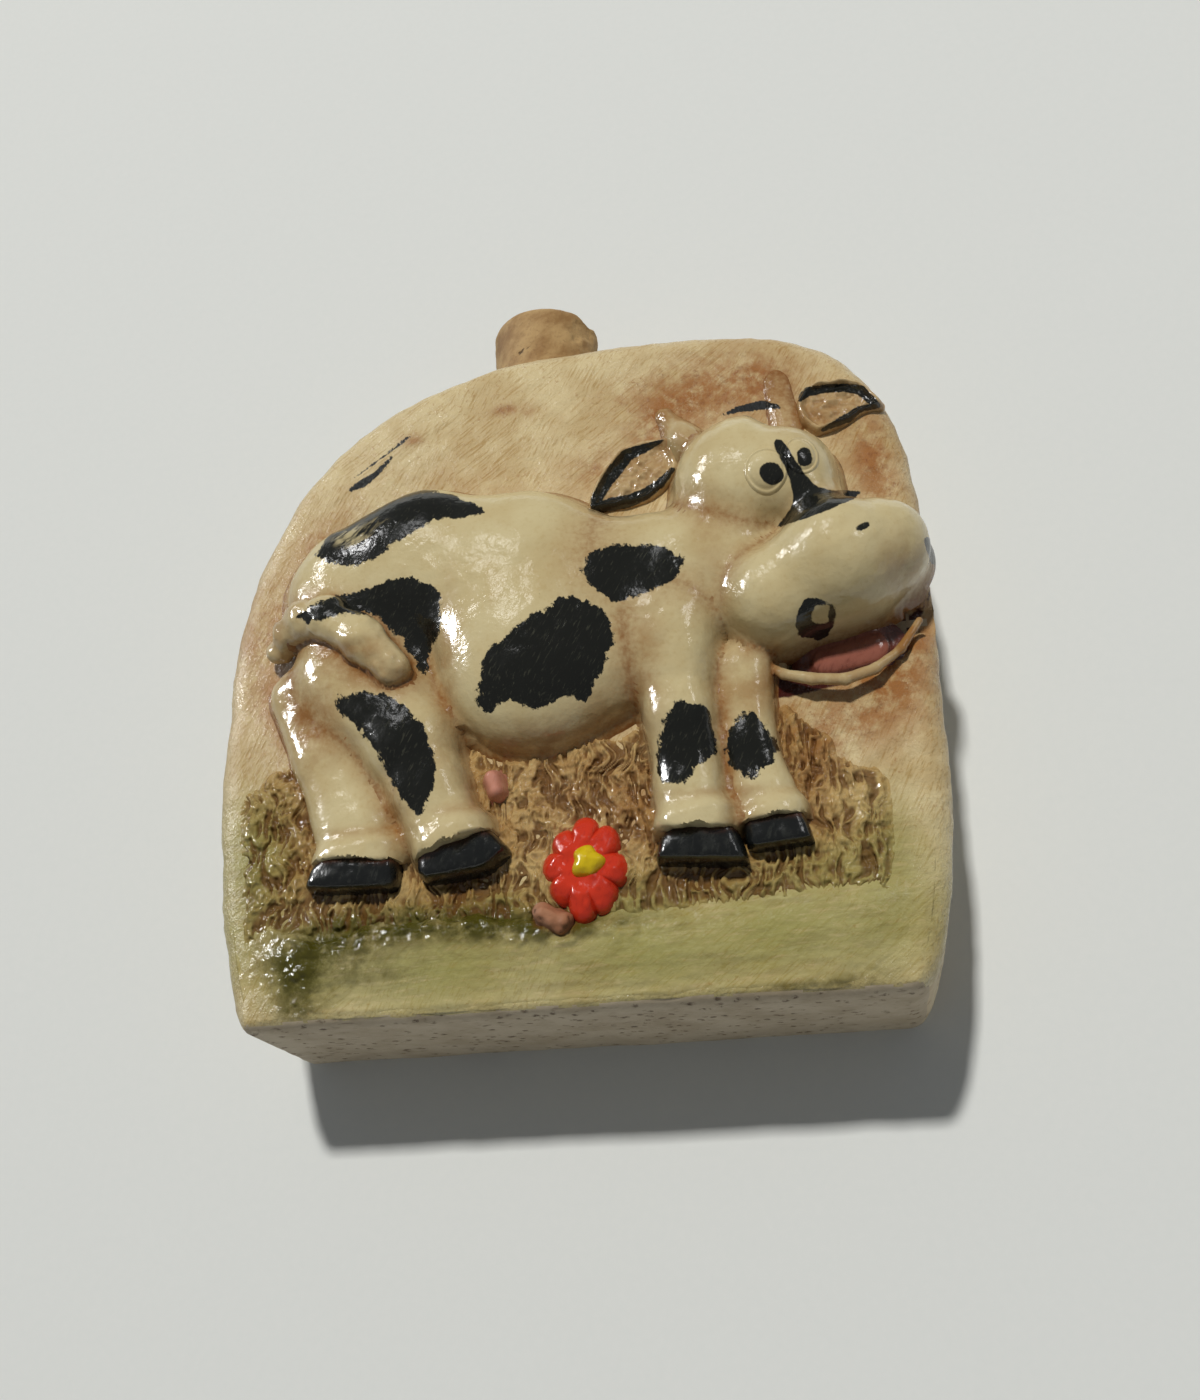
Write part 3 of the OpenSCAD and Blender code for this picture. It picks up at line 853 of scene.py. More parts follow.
class Bench:
    """A material being made."""

    def __init__(self, name: str) -> None:
        """Starts an empty material under a name."""
        self.material = bpy.data.materials.new(name)
        self.material.use_nodes = True
        self.tree = self.material.node_tree
        self.tree.nodes.clear()
        self.place = self.add("ShaderNodeTexCoord", out="Object")

    def add(self, kind: str, settings: Optional[dict[str, Any]] = None,
            values: Optional[dict[Union[str, int], Any]] = None,
            out: Union[str, int] = 0) -> Wire:
        """Adds a node of any kind.

        Args:
            kind: The node's type.
            settings: Its properties, set first.
            values: Numbers, colours or wires for its inputs.
            out: The output that is wanted.

        Returns:
            That output. The material's own end has none.
        """
        node = self.tree.nodes.new(kind)
        for key, value in (settings or {}).items():
            setattr(node, key, value)
        for key, value in (values or {}).items():
            if isinstance(value, Wire):
                self.tree.links.new(value.socket, node.inputs[key])
            else:
                node.inputs[key].default_value = value
        return Wire(self, node.outputs[out] if node.outputs else None)

    def maths(self, operation: str, a: Number, b: Number = 0.0) -> Wire:
        """A Math node.

        Args:
            operation: What it does.
            a: First value.
            b: Second value.

        Returns:
            The result.
        """
        return self.add("ShaderNodeMath", {"operation": operation}, {0: a, 1: b})

    def layer(self, name: str) -> Wire:
        """The number that the piece's points hold under a name."""
        return self.add("ShaderNodeAttribute", {"attribute_name": name}, out="Fac")

    def stretched(self, along: float, across: float, turn: float = 0.0) -> Wire:
        """Object coordinates, turned about Y and squeezed.

        Args:
            along: Length of the pattern along its direction.
            across: Its length across.
            turn: Degrees that the direction leans up from X.

        Returns:
            The coordinates.
        """
        return self.add("ShaderNodeMapping", {"vector_type": "TEXTURE"}, {
            "Vector": self.place, "Rotation": (0.0, -np.radians(turn), 0.0),
            "Scale": (along, across, across)})

    def noise(self, size: float, detail: float = 3.0, roughness: float = 0.55,
              place: Optional[Wire] = None) -> Wire:
        """Noise from about 0 to 1.

        Args:
            size: Size of its largest features, in mm.
            detail: Octaves.
            roughness: How strong the small ones are.
            place: Other coordinates than the object's.

        Returns:
            The noise.
        """
        return self.add("ShaderNodeTexNoise", {"noise_dimensions": "3D"}, {
            "Vector": place or self.place, "Scale": 1.0 / (size * MM), "Detail": detail,
            "Roughness": roughness})

    def cells(self, size: float) -> Wire:
        """Distance to scattered points, size mm apart."""
        return self.add("ShaderNodeTexVoronoi", {"feature": "F1"}, {
            "Vector": self.place, "Scale": 1.0 / (size * MM)}, "Distance")

    def mix(self, factor: Number, a: Union[Tint, Wire], b: Union[Tint, Wire]) -> Wire:
        """A colour between a and b.

        Args:
            factor: 0 for a, 1 for b.
            a: Tint or wire.
            b: Tint or wire.

        Returns:
            The mixed colour.
        """
        a, b = (shade(*end) if isinstance(end, tuple) else end for end in (a, b))
        return self.add("ShaderNodeMix", {"data_type": "RGBA", "clamp_factor": True},
                        {0: factor, 6: a, 7: b}, 2)

    def bump(self, height: Wire, depth: float, normal: Optional[Wire] = None) -> Wire:
        """A normal from a height.

        Args:
            height: Height from 0 to 1.
            depth: Millimetres that 1 stands for.
            normal: A bump to add to.

        Returns:
            The normal.
        """
        values = {"Height": height, "Distance": depth * MM, "Strength": 1.0}
        if normal is not None:
            values["Normal"] = normal
        return self.add("ShaderNodeBump", None, values)

    def finish(self, colour: Wire, rough: Number, normal: Wire,
               **constants: Any) -> bpy.types.Material:
        """Ends the material with its shader.

        Args:
            colour: Base colour.
            rough: Roughness.
            normal: Bumped normal.
            constants: Other sockets' numbers, with _ for a space.

        Returns:
            The material.
        """
        values = {"Base Color": colour, "Roughness": rough, "Normal": normal}
        values.update({key.replace("_", " "): value for key, value in constants.items()})
        shader = self.add("ShaderNodeBsdfPrincipled", None, values)
        self.add("ShaderNodeOutputMaterial", None, {"Surface": shader})
        return self.material


@dataclass(frozen=True)
class VarnishedPaint:
    """Clay painted by hand and varnished, with black patches, browner creases and painted shade
    near its neighbours.
    """

    name: str
    body: Tint = (206, 192, 149)
    mottle: Tint = (186, 164, 114)
    brown: Tint = (150, 108, 60)
    rust: Tint = (128, 80, 38)
    gloss: float = 0.10
    matt: float = 0.24
    ragged: float = 0.9
    relief: float = 0.055

    def make(self) -> bpy.types.Material:
        """Makes the material."""
        b = Bench(self.name)
        speck = b.noise(0.7, 3)
        wide = b.noise(7.0, 3)
        colour = b.mix(wide.step(0.38, 0.7) * 0.45 + speck.step(0.5, 0.75) * 0.25,
                       self.body, self.mottle)
        # brown of the marks: stains, and on the hide painted shade as well
        stain = b.layer("stain") * (b.noise(3.2, 4, 0.65).step(0.28, 0.62) * 0.8 + 0.2)
        # plus painted shade: brown within a few mm of other forms
        colour = b.mix(stain * 0.9 + b.layer("halo").step(0.35, 1.0) * (speck + 0.3) * 0.7, colour,
                       self.brown)
        # browner in the creases next to other forms
        dirt = b.layer("dirt")
        colour = b.mix((dirt * (speck * 0.9 + 0.45)).step(0.2, 1.0) * 0.85, colour,
                       self.rust)
        hairs = b.noise(0.5, 4, 0.7, b.stretched(1.0, 3.0, 20))
        edge = (b.noise(3.0, 5, 0.72) - 0.5) * 4.2 * self.ragged + (hairs - 0.5) * 1.3
        scratch = b.noise(0.45, 3, 0.6, b.stretched(4.0, 0.6, 62)).step(0.56, 0.74)
        scrape = b.noise(0.9, 3, 0.6, b.stretched(2.6, 1.0, 38)).step(0.4, 0.62)
        ink = (b.layer("ink") + edge).step(-0.12, 0.16) * (
            1.0 - b.layer("worn").step(0.25, 0.75) * scrape * 0.75)
        black = b.mix(scratch * 0.6, (22, 23, 19), (72, 72, 60))
        colour = b.mix(ink, colour, black)
        fine = (b.layer("line") + (hairs - 0.5) * 0.55).step(-0.08, 0.12)
        colour = b.mix(fine, colour, b.mix(scratch * 0.5, (26, 27, 23), (76, 75, 62)))
        rough = b.noise(2.5, 3).step(0.3, 0.75) * (self.matt - self.gloss) + self.gloss
        normal = b.bump(b.noise(0.8, 3, 0.6), self.relief)
        normal = b.bump(b.noise(2.4, 2), self.relief * 2.4, normal)
        return b.finish(colour, rough, normal, IOR=1.5, Specular_IOR_Level=0.6)


@dataclass(frozen=True)
class BrushedSlab:
    """The slab's pale brushed face, its stains and its green foot, with painted shade round the
    relief, under the lower lip and in the grass's hollows.
    """

    name: str
    body: Tint = (219, 202, 158)
    straw: Tint = (178, 148, 94)
    brown: Tint = (158, 108, 60)
    rust: Tint = (112, 62, 30)
    green: Tint = (146, 144, 78)
    olive: Tint = (74, 70, 20)
    gloss: float = 0.17
    matt: float = 0.5
    grain: float = 1.0
    wet: float = 0.0

    def make(self) -> bpy.types.Material:
        """Makes the material."""
        b = Bench(self.name)
        turned = b.noise(16.0, 1).step(0.4, 0.6)
        brush = (b.noise(0.3, 3, 0.6, b.stretched(14.0, 1.0, 38)) * turned
                 + b.noise(0.3, 3, 0.6, b.stretched(10.0, 1.0, 62)) * (1.0 - turned))
        speck = b.noise(0.55, 4, 0.7)
        wide = b.noise(9.0, 4, 0.6)
        straw = wide.step(0.38, 0.64) * 0.5 + brush.step(0.5, 0.64) * 0.5
        colour = b.mix(straw, self.body, self.straw)
        pits = speck.step(0.56, 0.68) * b.noise(2.8, 3).step(0.42, 0.6)
        colour = b.mix(pits * 0.5, colour, self.brown)
        blotch = b.noise(3.4, 5, 0.68).step(0.3, 0.6)
        # round the relief a soft brown, partly stain and partly painted shade
        halo = b.layer("halo")
        stain = (b.layer("stain") * 1.1 + halo * 0.35) * (blotch * 0.85 + 0.15)
        colour = b.mix(stain, colour, self.brown)
        red = (b.layer("stain") * speck.step(0.4, 0.66) * b.noise(1.6, 4).step(0.45, 0.65)) * 0.6
        colour = b.mix(red, colour, self.rust)
        fibre = b.noise(0.7, 4, 0.7, b.stretched(5.0, 1.0, 3))
        green = b.layer("green") * (fibre.step(0.2, 0.55) * 0.5 + 0.5)
        deep = b.noise(1.6, 5, 0.7, b.stretched(5.0, 1.0, 3)).step(0.48, 0.62)
        grassy = b.mix(fibre.step(0.45, 0.75) * 0.6, self.green, (178, 174, 118))
        grassy = b.mix(deep * 0.5, grassy, (112, 108, 50))
        colour = b.mix(green * 0.9, colour, grassy)
        olive = b.layer("olive") * (blotch * 0.5 + 0.5)
        colour = b.mix(olive.step(0.05, 0.8), colour, self.olive)
        # browner in the creases next to the relief
        colour = b.mix((b.layer("dirt") * (speck + 0.3)).step(0.25, 1.0) * 0.8, colour,
                       self.rust)
        # dark red-brown: a painted shadow under the lower lip, and the mouth's own red with
        # painted shade of its cavity
        colour = b.mix((b.layer("dark") + (speck - 0.5) * 0.5).step(-0.1, 0.25), colour,
                       (62, 22, 16))
        hairs = b.noise(0.5, 4, 0.7, b.stretched(1.0, 3.0, 20))
        fine = (b.layer("line") + (hairs - 0.5) * 0.9).step(-0.06, 0.12)
        colour = b.mix(fine, colour, (34, 36, 36))
        rough = wide.step(0.3, 0.7) * (self.matt - self.gloss) + self.gloss
        rough = rough * (1.0 - b.layer("olive") * 0.75)
        # painted shade: the grass's hollows between its ridges are darkened
        hollow = b.layer("hollow")
        colour = b.mix(hollow.step(0.25, 1.3) * 0.75, colour, self.rust)
        normal = b.bump(brush * 0.6 + speck * 0.4, 0.13 * self.grain)
        normal = b.bump(b.noise(1.1, 4, 0.65), 0.24 * self.grain, normal)
        normal = b.bump(b.noise(1.5, 1), self.wet, normal)
        normal = b.bump(b.noise(1.7, 1) * b.layer("olive"), 1.2, normal)
        return b.finish(colour, rough, normal, IOR=1.5, Specular_IOR_Level=0.5)


@dataclass(frozen=True)
class RawClay:
    """Bare or thinly washed clay: matt, pale and pitted with brown."""

    name: str
    body: Tint = (206, 194, 166)
    wash: Tint = (186, 162, 124)
    pit: Tint = (112, 78, 46)
    pits: float = 0.5

    def make(self) -> bpy.types.Material:
        """Makes the material."""
        b = Bench(self.name)
        wide = b.noise(8.0, 4, 0.6)
        colour = b.mix(wide.step(0.35, 0.7), self.body, self.wash)
        speck = b.noise(0.8, 4, 0.7)
        pits = b.cells(1.9).step(0.34, 0.12) * speck.step(0.42, 0.6)
        streak = b.noise(1.0, 3, 0.6, b.stretched(3.0, 1.0, 0)).step(0.6, 0.72)
        mask = pits * self.pits + streak * (self.pits * 0.5)
        colour = b.mix(mask, colour, self.pit)
        colour = b.mix(speck.step(0.5, 0.75) * 0.3, colour, self.wash)
        normal = b.bump(speck, 0.12)
        normal = b.bump(1.0 - pits, 0.2, normal)
        return b.finish(colour, 0.78 - speck * 0.15, normal, IOR=1.45)


@dataclass(frozen=True)
class Enamel:
    """Thick glossy paint of one colour, thinner and darker in places."""

    name: str
    thick: Tint
    thin: Tint
    gloss: float = 0.15
    dirt: Tint = (96, 44, 20)

    def make(self) -> bpy.types.Material:
        """Makes the material."""
        b = Bench(self.name)
        streak = b.noise(0.6, 4, 0.65, b.stretched(3.0, 1.0, 70))
        patchy = b.noise(2.4, 3)
        thin = streak.step(0.5, 0.74) * 0.55 + patchy.step(0.5, 0.72) * 0.3
        colour = b.mix(thin, self.thick, self.thin)
        # browner in the creases next to other forms
        colour = b.mix((b.layer("dirt") * (streak + 0.45)).step(0.35, 1.0) * 0.8, colour,
                       self.dirt)
        rough = patchy.step(0.3, 0.8) * 0.22 + self.gloss
        normal = b.bump(b.noise(0.8, 3), 0.05)
        normal = b.bump(b.noise(2.6, 2), 0.14, normal)
        return b.finish(colour, rough, normal, IOR=1.5, Specular_IOR_Level=0.6)


@dataclass(frozen=True)
class CorkBark:
    """Cork with its grain, pores and dark cracks."""

    name: str

    def make(self) -> bpy.types.Material:
        """Makes the material."""
        b = Bench(self.name)
        fine = b.noise(0.5, 4, 0.7)
        wide = b.noise(3.5, 4, 0.6, b.stretched(2.0, 1.0, 35))
        colour = b.mix(wide.step(0.35, 0.68), (186, 155, 108), (150, 116, 74))
        colour = b.mix(fine.step(0.5, 0.72) * 0.4, colour, (118, 86, 54))
        crack = (b.noise(3.0, 3, 0.6, b.stretched(2.6, 0.9, 38)).step(0.62, 0.7)
                 * fine.step(0.35, 0.55))
        colour = b.mix(crack, colour, (58, 38, 26))
        normal = b.bump(fine, 0.1)
        normal = b.bump(1.0 - crack, 0.3, normal)
        return b.finish(colour, 0.8 - wide * 0.1, normal, IOR=1.4)


# ---------------------------------------------------------------- sub-assemblies

@dataclass
class Studio:
    """The camera, the lights and the pale surface that the flask lies against."""

    lens: float = 39.857
    film: float = 36.0
    turn: tuple[float, float, float] = (112.3952, 1.5912, 9.8371)
    side: float = 1.6
    key: float = 57.0
    world: float = 0.155
    glints: tuple[tuple[float, float, float, float], ...] = (
        (-0.70, -0.32, 0.34, 4.6), (-0.58, -0.46, 0.58, 0.9), (-0.22, -0.62, 0.50, 0.25),
        (0.45, -0.55, 0.35, 0.3))

    def camera(self) -> None:
        """Sets the camera up at the viewer's eye."""
        data = bpy.data.cameras.new("camera")
        data.lens, data.sensor_width = self.lens, self.film
        eye = bpy.data.objects.new("camera", data)
        eye.location = EYE * MM
        eye.rotation_euler = np.radians(self.turn)
        bpy.context.scene.collection.objects.link(eye)
        bpy.context.scene.camera = eye

    def lamp(self, name: str, spot: tuple[float, float, float], size: float, power: float,
             tint: tuple[float, float, float] = (1.0, 1.0, 1.0),
             glints: bool = False) -> None:
        """Hangs a square lamp that faces the middle of the flask.

        Args:
            name: Its name.
            spot: Where it hangs, in metres.
            size: Its side, in metres.
            power: Its power in watts.
            tint: Its colour.
            glints: Whether it gives only glints, or only plain light.
        """
        data = bpy.data.lights.new(name, "AREA")
        data.energy, data.size, data.color = power, size, tint
        lamp = bpy.data.objects.new(name, data)
        lamp.location = spot
        lamp.visible_glossy, lamp.visible_diffuse = glints, not glints
        aim = Vector(spot) - Vector((0.0, 0.0, 0.05))
        lamp.rotation_euler = aim.to_track_quat("Z", "Y").to_euler()
        bpy.context.scene.collection.objects.link(lamp)

    def plane(self, name: str, corners: Array, lit_only: bool) -> None:
        """A pale stage plane that shows only from its front.

        Args:
            name: Its name.
            corners: Its four corners, in mm, counter-clockwise from the front.
            lit_only: Whether it gives no light back. No plane keeps light from the flask.
        """
        mesh = bpy.data.meshes.new(name)
        mesh.from_pydata((corners * MM).tolist(), [], [(0, 1, 2, 3)])
        b = Bench(name)
        colour = b.mix(b.noise(1.2, 3), (226, 229, 228), (222, 226, 225))
        facing = b.add("ShaderNodeBsdfDiffuse", None, {"Color": colour})
        clear = b.add("ShaderNodeBsdfTransparent")
        behind = b.add("ShaderNodeNewGeometry", out="Backfacing")
        both = b.add("ShaderNodeMixShader", None, {0: behind, 1: facing, 2: clear})
        b.add("ShaderNodeOutputMaterial", None, {"Surface": both})
        mesh.materials.append(b.material)
        plane = bpy.data.objects.new(name, mesh)
        bpy.context.scene.collection.objects.link(plane)
        plane.visible_shadow = False
        plane.visible_diffuse = plane.visible_glossy = not lit_only

    def build(self) -> None:
        """Sets up camera, lamps, world and stage."""
        self.camera()
        self.lamp("key", (-0.24, -2.5, 1.10), 0.17, self.key, (1.0, 0.97, 0.92))
        for number, (x, y, z, power) in enumerate(self.glints):
            self.lamp(f"glint_{number}", (x, y, z), 0.12, power, glints=True)
        self.lamp("back_fill", (0.3, 0.9, 0.3), 0.8, 2.5)
        u, v = np.array([(-1, -1), (1, -1), (1, 1), (-1, 1)]).T * (self.side / MM / 2)
        self.plane("table", spots(u, BACK_Y + 0.4, v), False)
        self.plane("floor", spots(u, v, -0.3), True)
        world = bpy.data.worlds.new("room")
        world.use_nodes = True
        light = world.node_tree.nodes["Background"]
        light.inputs[0].default_value = (0.95, 0.98, 1.0, 1.0)
        light.inputs[1].default_value = self.world
        bpy.context.scene.world = world
        bpy.context.scene.view_settings.view_transform = "Standard"


@dataclass
class Shell:
    """The hollow block: two slabs, two bands, a base and the neck's collar.

    The outline is four quarters of superellipses, each a centre, two half axes and a
    power, joined by the straight foot.
    """

    quarters: tuple[Spot, ...] = (
        (42.5, 50.0, 8.8, 50.0, 2.5), (12.0, 50.0, 39.3, 51.3, 3.5),
        (8.0, 39.0, 58.4, 62.3, 2.55), (-43.8, 39.0, 6.6, 39.0, 2.0))
    front_round: float = 3.4
    back_round: float = 4.0
    wall: float = 6.0
    neck: tuple[float, float] = (-4.7, 0.25)
    bore: float = 8.0
    collar: float = 12.6
    collar_foot: float = 80.8
    middle: tuple[float, float] = (-5.0, 50.0)
    relief: Optional[Relief] = None
    path: Array = field(init=False)

    def __post_init__(self) -> None:
        """Works out the outline as a fine path, counter-clockwise from the foot."""
        t = np.linspace(0.0, np.pi / 2, 200)
        start = np.zeros((1, 2))
        parts = [start]
        for (x, z, a, b, n), across, up in zip(
                self.quarters, (1, 1, -1, -1), (-1, 1, 1, -1)):
            turn = t if across * up < 0 else t[::-1]
            wide = np.abs(np.sin(turn)) ** (2 / n)
            tall = np.abs(np.cos(turn)) ** (2 / n)
            parts.append(np.stack([x + across * a * wide, z + up * b * tall], -1))
        self.path = np.concatenate([*parts, start])

    def rim(self, count: int, start: float = 0.0, end: float = 1.0,
            weigh: Optional[Callable[[Array], Array]] = None) -> tuple[Array, Array]:
        """Points along the outline and the directions out from it.

        Args:
            count: How many points.
            start: Where to begin, as a part of the way round from the foot's middle.
            end: Where to stop.
            weigh: How close together points lie, as a function of the fine path.

        Returns:
            Points and outward directions, as x and z.
        """
        long = np.hypot(*np.diff(self.path, axis=0).T)
        if weigh is not None:
            long = long * weigh((self.path[1:] + self.path[:-1]) / 2)
        along = running(long)
        full = start == 0.0 and end == 1.0
        place = np.linspace(start, end, count, endpoint=not full) * along[-1]
        step = along[-1] / 900
        after, before = (walk(self.path, along, (place + d) % along[-1]) for d in (step, -step))
        way = (after - before)[:, ::-1] * (1, -1)
        way /= np.maximum(np.linalg.norm(way, axis=-1, keepdims=True), TINY)
        return walk(self.path, along, place), way

    def side(self, rim: Array, way: Array, y: float, inset: float = 0.0) -> Array:
        """One ring of the block's side.

        The outline is drawn in by the rounding at this depth, then worn: soft dents
        and a fine roughness, both cut only inwards.

        Args:
            rim: Outline points.
            way: Outward directions.
            y: Depth of the ring.
            inset: How far it is drawn in besides.

        Returns:
            Points in mm.
        """
        spot = spots(rim[:, 0], y, rim[:, 1])
        worn = 0.35 * LUMPS.rough(spot, 9.0, 3) + 0.12 * FIBRE.rough(spot, 1.6, 2) - 0.3
        worn = worn * (0.35 + 0.65 * smooth_step(rim[:, 1], 0.0, 3.0))
        in_by = inset * (0.45 + 0.55 * smooth_step(rim[:, 1], 0.0, 5.0)) - worn
        spot[:, ::2] -= way * in_by[:, None]
        return spot

    def face_height(self, x: Array, z: Array) -> Array:
        """Height of the front face: soft undulation, brush marks and the mouth's pocket.

        Args:
            x: Places across.
            z: Places up.

        Returns:
            Heights over the face plane, in mm.
        """
        spot = spots(x, 0.0, z)
        lean = np.radians(36)
        brush = spots((x * np.cos(lean) + z * np.sin(lean)) / 7.0,
                      z * np.cos(lean) - x * np.sin(lean), 0.0)
        high = 0.22 * LUMPS.rough(spot, 11.0, 2) + 0.1 * FIBRE.rough(brush, 1.5, 2)
        high += 0.08 * FIBRE.rough(spot, 2.2, 2) - 0.1
        spot[..., 1] = FACE_Y
        high *= 0.25 + 0.75 * smooth_step(self.relief.nearest(spot), 0.0, 4.0)
        return high - POCKET_DEPTH * smooth_step(POCKET.distance(spot), 0.7, -0.7)

    def disc(self, edge: Array, y: float, parts: Sequence[float]) -> list[Array]:
        """Rings of a flat face.

        Args:
            edge: The ring that bounds it, at any depth.
            y: Depth of the face.
            parts: Where the rings lie, as parts of the way from its middle to its edge.

        Returns:
            The rings, in mm.
        """
        middle = np.array([self.middle[0], y, self.middle[1]])
        flat = edge * (1, 0, 1) + (0, y, 0)
        return [middle + (flat - middle) * part for part in parts]

    def front(self) -> bpy.types.Object:
        """The front slab: rings from the middle of the face to the seam and back."""
        rim, way = self.rim(470, weigh=lambda p: 1.0 + 0.8 * (p[:, 1] < 40))
        rings = self.disc(self.side(rim, way, FACE_Y, self.front_round), FACE_Y,
                          np.linspace(0.02, 1.0, 128))
        for ring in rings:
            ring[:, 1] = FACE_Y - self.face_height(ring[:, 0], ring[:, 2])
        sink = FACE_Y - rings[-1][:, 1]
        for angle in QUARTER:
            drop = self.front_round * (1 - np.cos(angle))
            ring = self.side(rim, way, FACE_Y + drop, self.front_round * (1 - np.sin(angle)))
            ring[:, 1] -= sink * np.cos(angle)
            rings.append(ring)
        for y in np.linspace(FACE_Y + self.front_round, FRONT_SEAM, 7)[1:]:
            rings.append(self.side(rim, way, y))
        rings += self.disc(rings[-1], FRONT_SEAM, (0.98, 0.5, 0.05))
        return make_piece("front_slab", np.stack(rings))

    def back(self) -> bpy.types.Object:
        """The back slab: the same, with a flat face."""
        rim, way = self.rim(420)
        seam = self.side(rim, way, BACK_SEAM)
        rings = self.disc(seam, BACK_SEAM, (0.05, 0.5, 0.98))
        edge_y = BACK_Y - self.back_round
        rings += [self.side(rim, way, y) for y in np.linspace(BACK_SEAM, edge_y, 4)]
        for angle in QUARTER:
            rings.append(self.side(rim, way, edge_y + self.back_round * np.sin(angle),
                                   self.back_round * (1 - np.cos(angle))))
        parts = np.linspace(1.0, 0.02, 60)[1:]
        for part, ring in zip(parts, self.disc(rings[-1], BACK_Y, parts)):
            spot = spots(ring[:, 0], 40.0, ring[:, 2])
            ring[:, 1] = BACK_Y - 0.12 + 0.1 * LUMPS.rough(spot, 8.0, 3) * (1 - part ** 6)
            rings.append(ring)
        return make_piece("back_slab", np.stack(rings))

    def band(self, name: str, start: float, end: float) -> bpy.types.Object:
        """One half of the band: its section carried along the arch.

        Args:
            name: The piece.
            start: Where on the outline it begins.
            end: Where it ends.

        Returns:
            The piece.
        """
        rim, way = self.rim(150, start, end)
        depths = np.linspace(FRONT_SEAM, BACK_SEAM, 26)
        inner = rim - way * self.wall
        lines = [self.side(rim, way, y) for y in depths]
        lines += [spots(inner[:, 0], y, np.maximum(inner[:, 1], 0.3)) for y in depths[::-5]]
        return make_piece(name, np.stack(lines, axis=1))

    def base(self) -> bpy.types.Object:
        """The base slab: flat rings between the slabs, closed above and below."""
        rim = self.rim(600)[0]
        x = np.sort(rim[rim[:, 1] < 0.01, 0])
        foot = np.stack([x, np.zeros_like(x)], -1)
        down = np.tile((0.0, -1.0), (len(x), 1))
        under = [self.side(foot, down, y) for y in np.linspace(FRONT_SEAM, BACK_SEAM, 40)]
        over = [u * (1, 1, 0) + (0, 0, self.wall) for u in under[::-8]]
        return make_piece("base_slab", np.stack(under + over, axis=1))

    def span(self, z: Array) -> tuple[Array, Array]:
        """The outline's left and right x at height z."""
        top = int(np.argmax(self.path[:, 1]))
        right, left = self.path[1:top], self.path[:top:-1]
        return (np.interp(z, left[1:, 1], left[1:, 0]), np.interp(z, right[:, 1], right[:, 0]))

    def crown(self, x: Array) -> Array:
        """Height of the outline over x, above the shoulders."""
        top = self.path[self.path[:, 1] > 80.0]
        top = top[np.argsort(top[:, 0])]
        return np.interp(x, *top.T)

    def neck_collar(self) -> bpy.types.Object:
        """The collar: a ring section carried round the bore, its top level with the crown."""
        turn = circle(160)
        foot = 20.0
        rings = []
        for radius, drop in ((self.bore, foot), (self.bore, 0.9), (self.bore + 0.25, 0.35),
                             (self.bore + 0.8, 0.12), (self.bore + 1.6, 0.08),
                             (self.collar - 0.5, 0.1), (self.collar - 0.1, 0.35),
                             (self.collar, 1.0), (self.collar, foot), (self.bore, foot)):
            x, y = oval(*self.neck, radius, radius, turn).T
            top = self.crown(x)
            worn = 0.15 * LUMPS.rough(spots(x, y, top), 5.0, 2) if drop < 1 else 0.0
            z = self.collar_foot if drop == foot else top - drop + worn
            rings.append(spots(x, y, z))
        return make_piece("neck_collar", np.stack(rings), caps=False)

    def build(self, paint: Paint) -> list[bpy.types.Object]:
        """Builds, dresses and places the shell.

        Args:
            paint: Who lays the colours.

        Returns:
            The pieces.
        """
        face = BrushedSlab("brushed_slab").make()
        raw = RawClay("washed_side").make()
        # The bare base's pale colour is partly its own and partly painted light, standing in for
        # the light thrown back onto the underside.
        foot = RawClay("bare_base", (190, 176, 152), (170, 154, 128), (90, 66, 44), 0.9).make()
        finishes = {"front_slab": (face, foot, raw), "neck_collar": (raw,)}
        pieces = [self.front(), self.back(), self.band("side_band_right", 0.118, 0.502),
                  self.band("side_band_left", 0.55, 0.9), self.base(), self.neck_collar()]
        for piece in pieces:
            node = piece.name.removesuffix(CLAY)
            if node == "front_slab":
                paint.lay(piece, dirt=0.8)
            place(piece, node, "bare_clay" if node == "base_slab" else "stoneware",
                  *finishes.get(node, (raw, foot)))
            if node != "neck_collar":
                self.share_faces(piece, node == "front_slab")
        return pieces

    def share_faces(self, piece: bpy.types.Object, front: bool) -> None:
        """Gives the base's finish to faces that look down and the sides' to the front's edge.

        Args:
            piece: The piece.
            front: Whether it is the front slab, whose third finish is the sides'.
        """
        faces = piece.data.polygons
        normal, middle = read(faces, "normal"), read(faces, "center")
        index = ((normal[:, 2] < -0.75) & (middle[:, 2] < 0.002)).astype(np.int32)
        if front:
            edge = (FACE_Y + self.front_round + 0.1) * MM
            index[(middle[:, 1] > edge) & (index == 0)] = 2
        faces.foreach_set("material_index", index)


Height = Callable[[Array, Array, Array], Array]


def plate(name: str, outline: Array, middle: tuple[float, float], rings: int,
          height: Height, depth: float = 1.2) -> bpy.types.Object:
    """A low piece over an outline.

    The two parameters are the place round the outline and the part of the way in to the
    middle; height gives how high the top is there, and the back is flat.

    Args:
        name: The piece.
        outline: Its outline, as x and z.
        middle: Where the rings shrink to.
        rings: How many rings.
        height: Height over the face from the part of the way out, x and z.
        depth: How far the back lies under the lowest edge.

    Returns:
        The piece.
    """
    part = np.concatenate([[1.0], 1.0 - np.linspace(0.0, 1.0, rings) ** 1.6])
    part[-1] = 0.001
    flat = np.asarray(middle) + (outline - middle) * part[:, None, None]
    x, z = flat[..., 0], flat[..., 1]
    high = height(np.broadcast_to(part[:, None], x.shape), x, z)
    high[0] = high[1].min() - depth
    return make_piece(name, spots(x, FACE_Y - high, z))


class Ear(Enum):
    """Which ear."""

    NEAR = "near_ear"
    FAR = "far_ear"


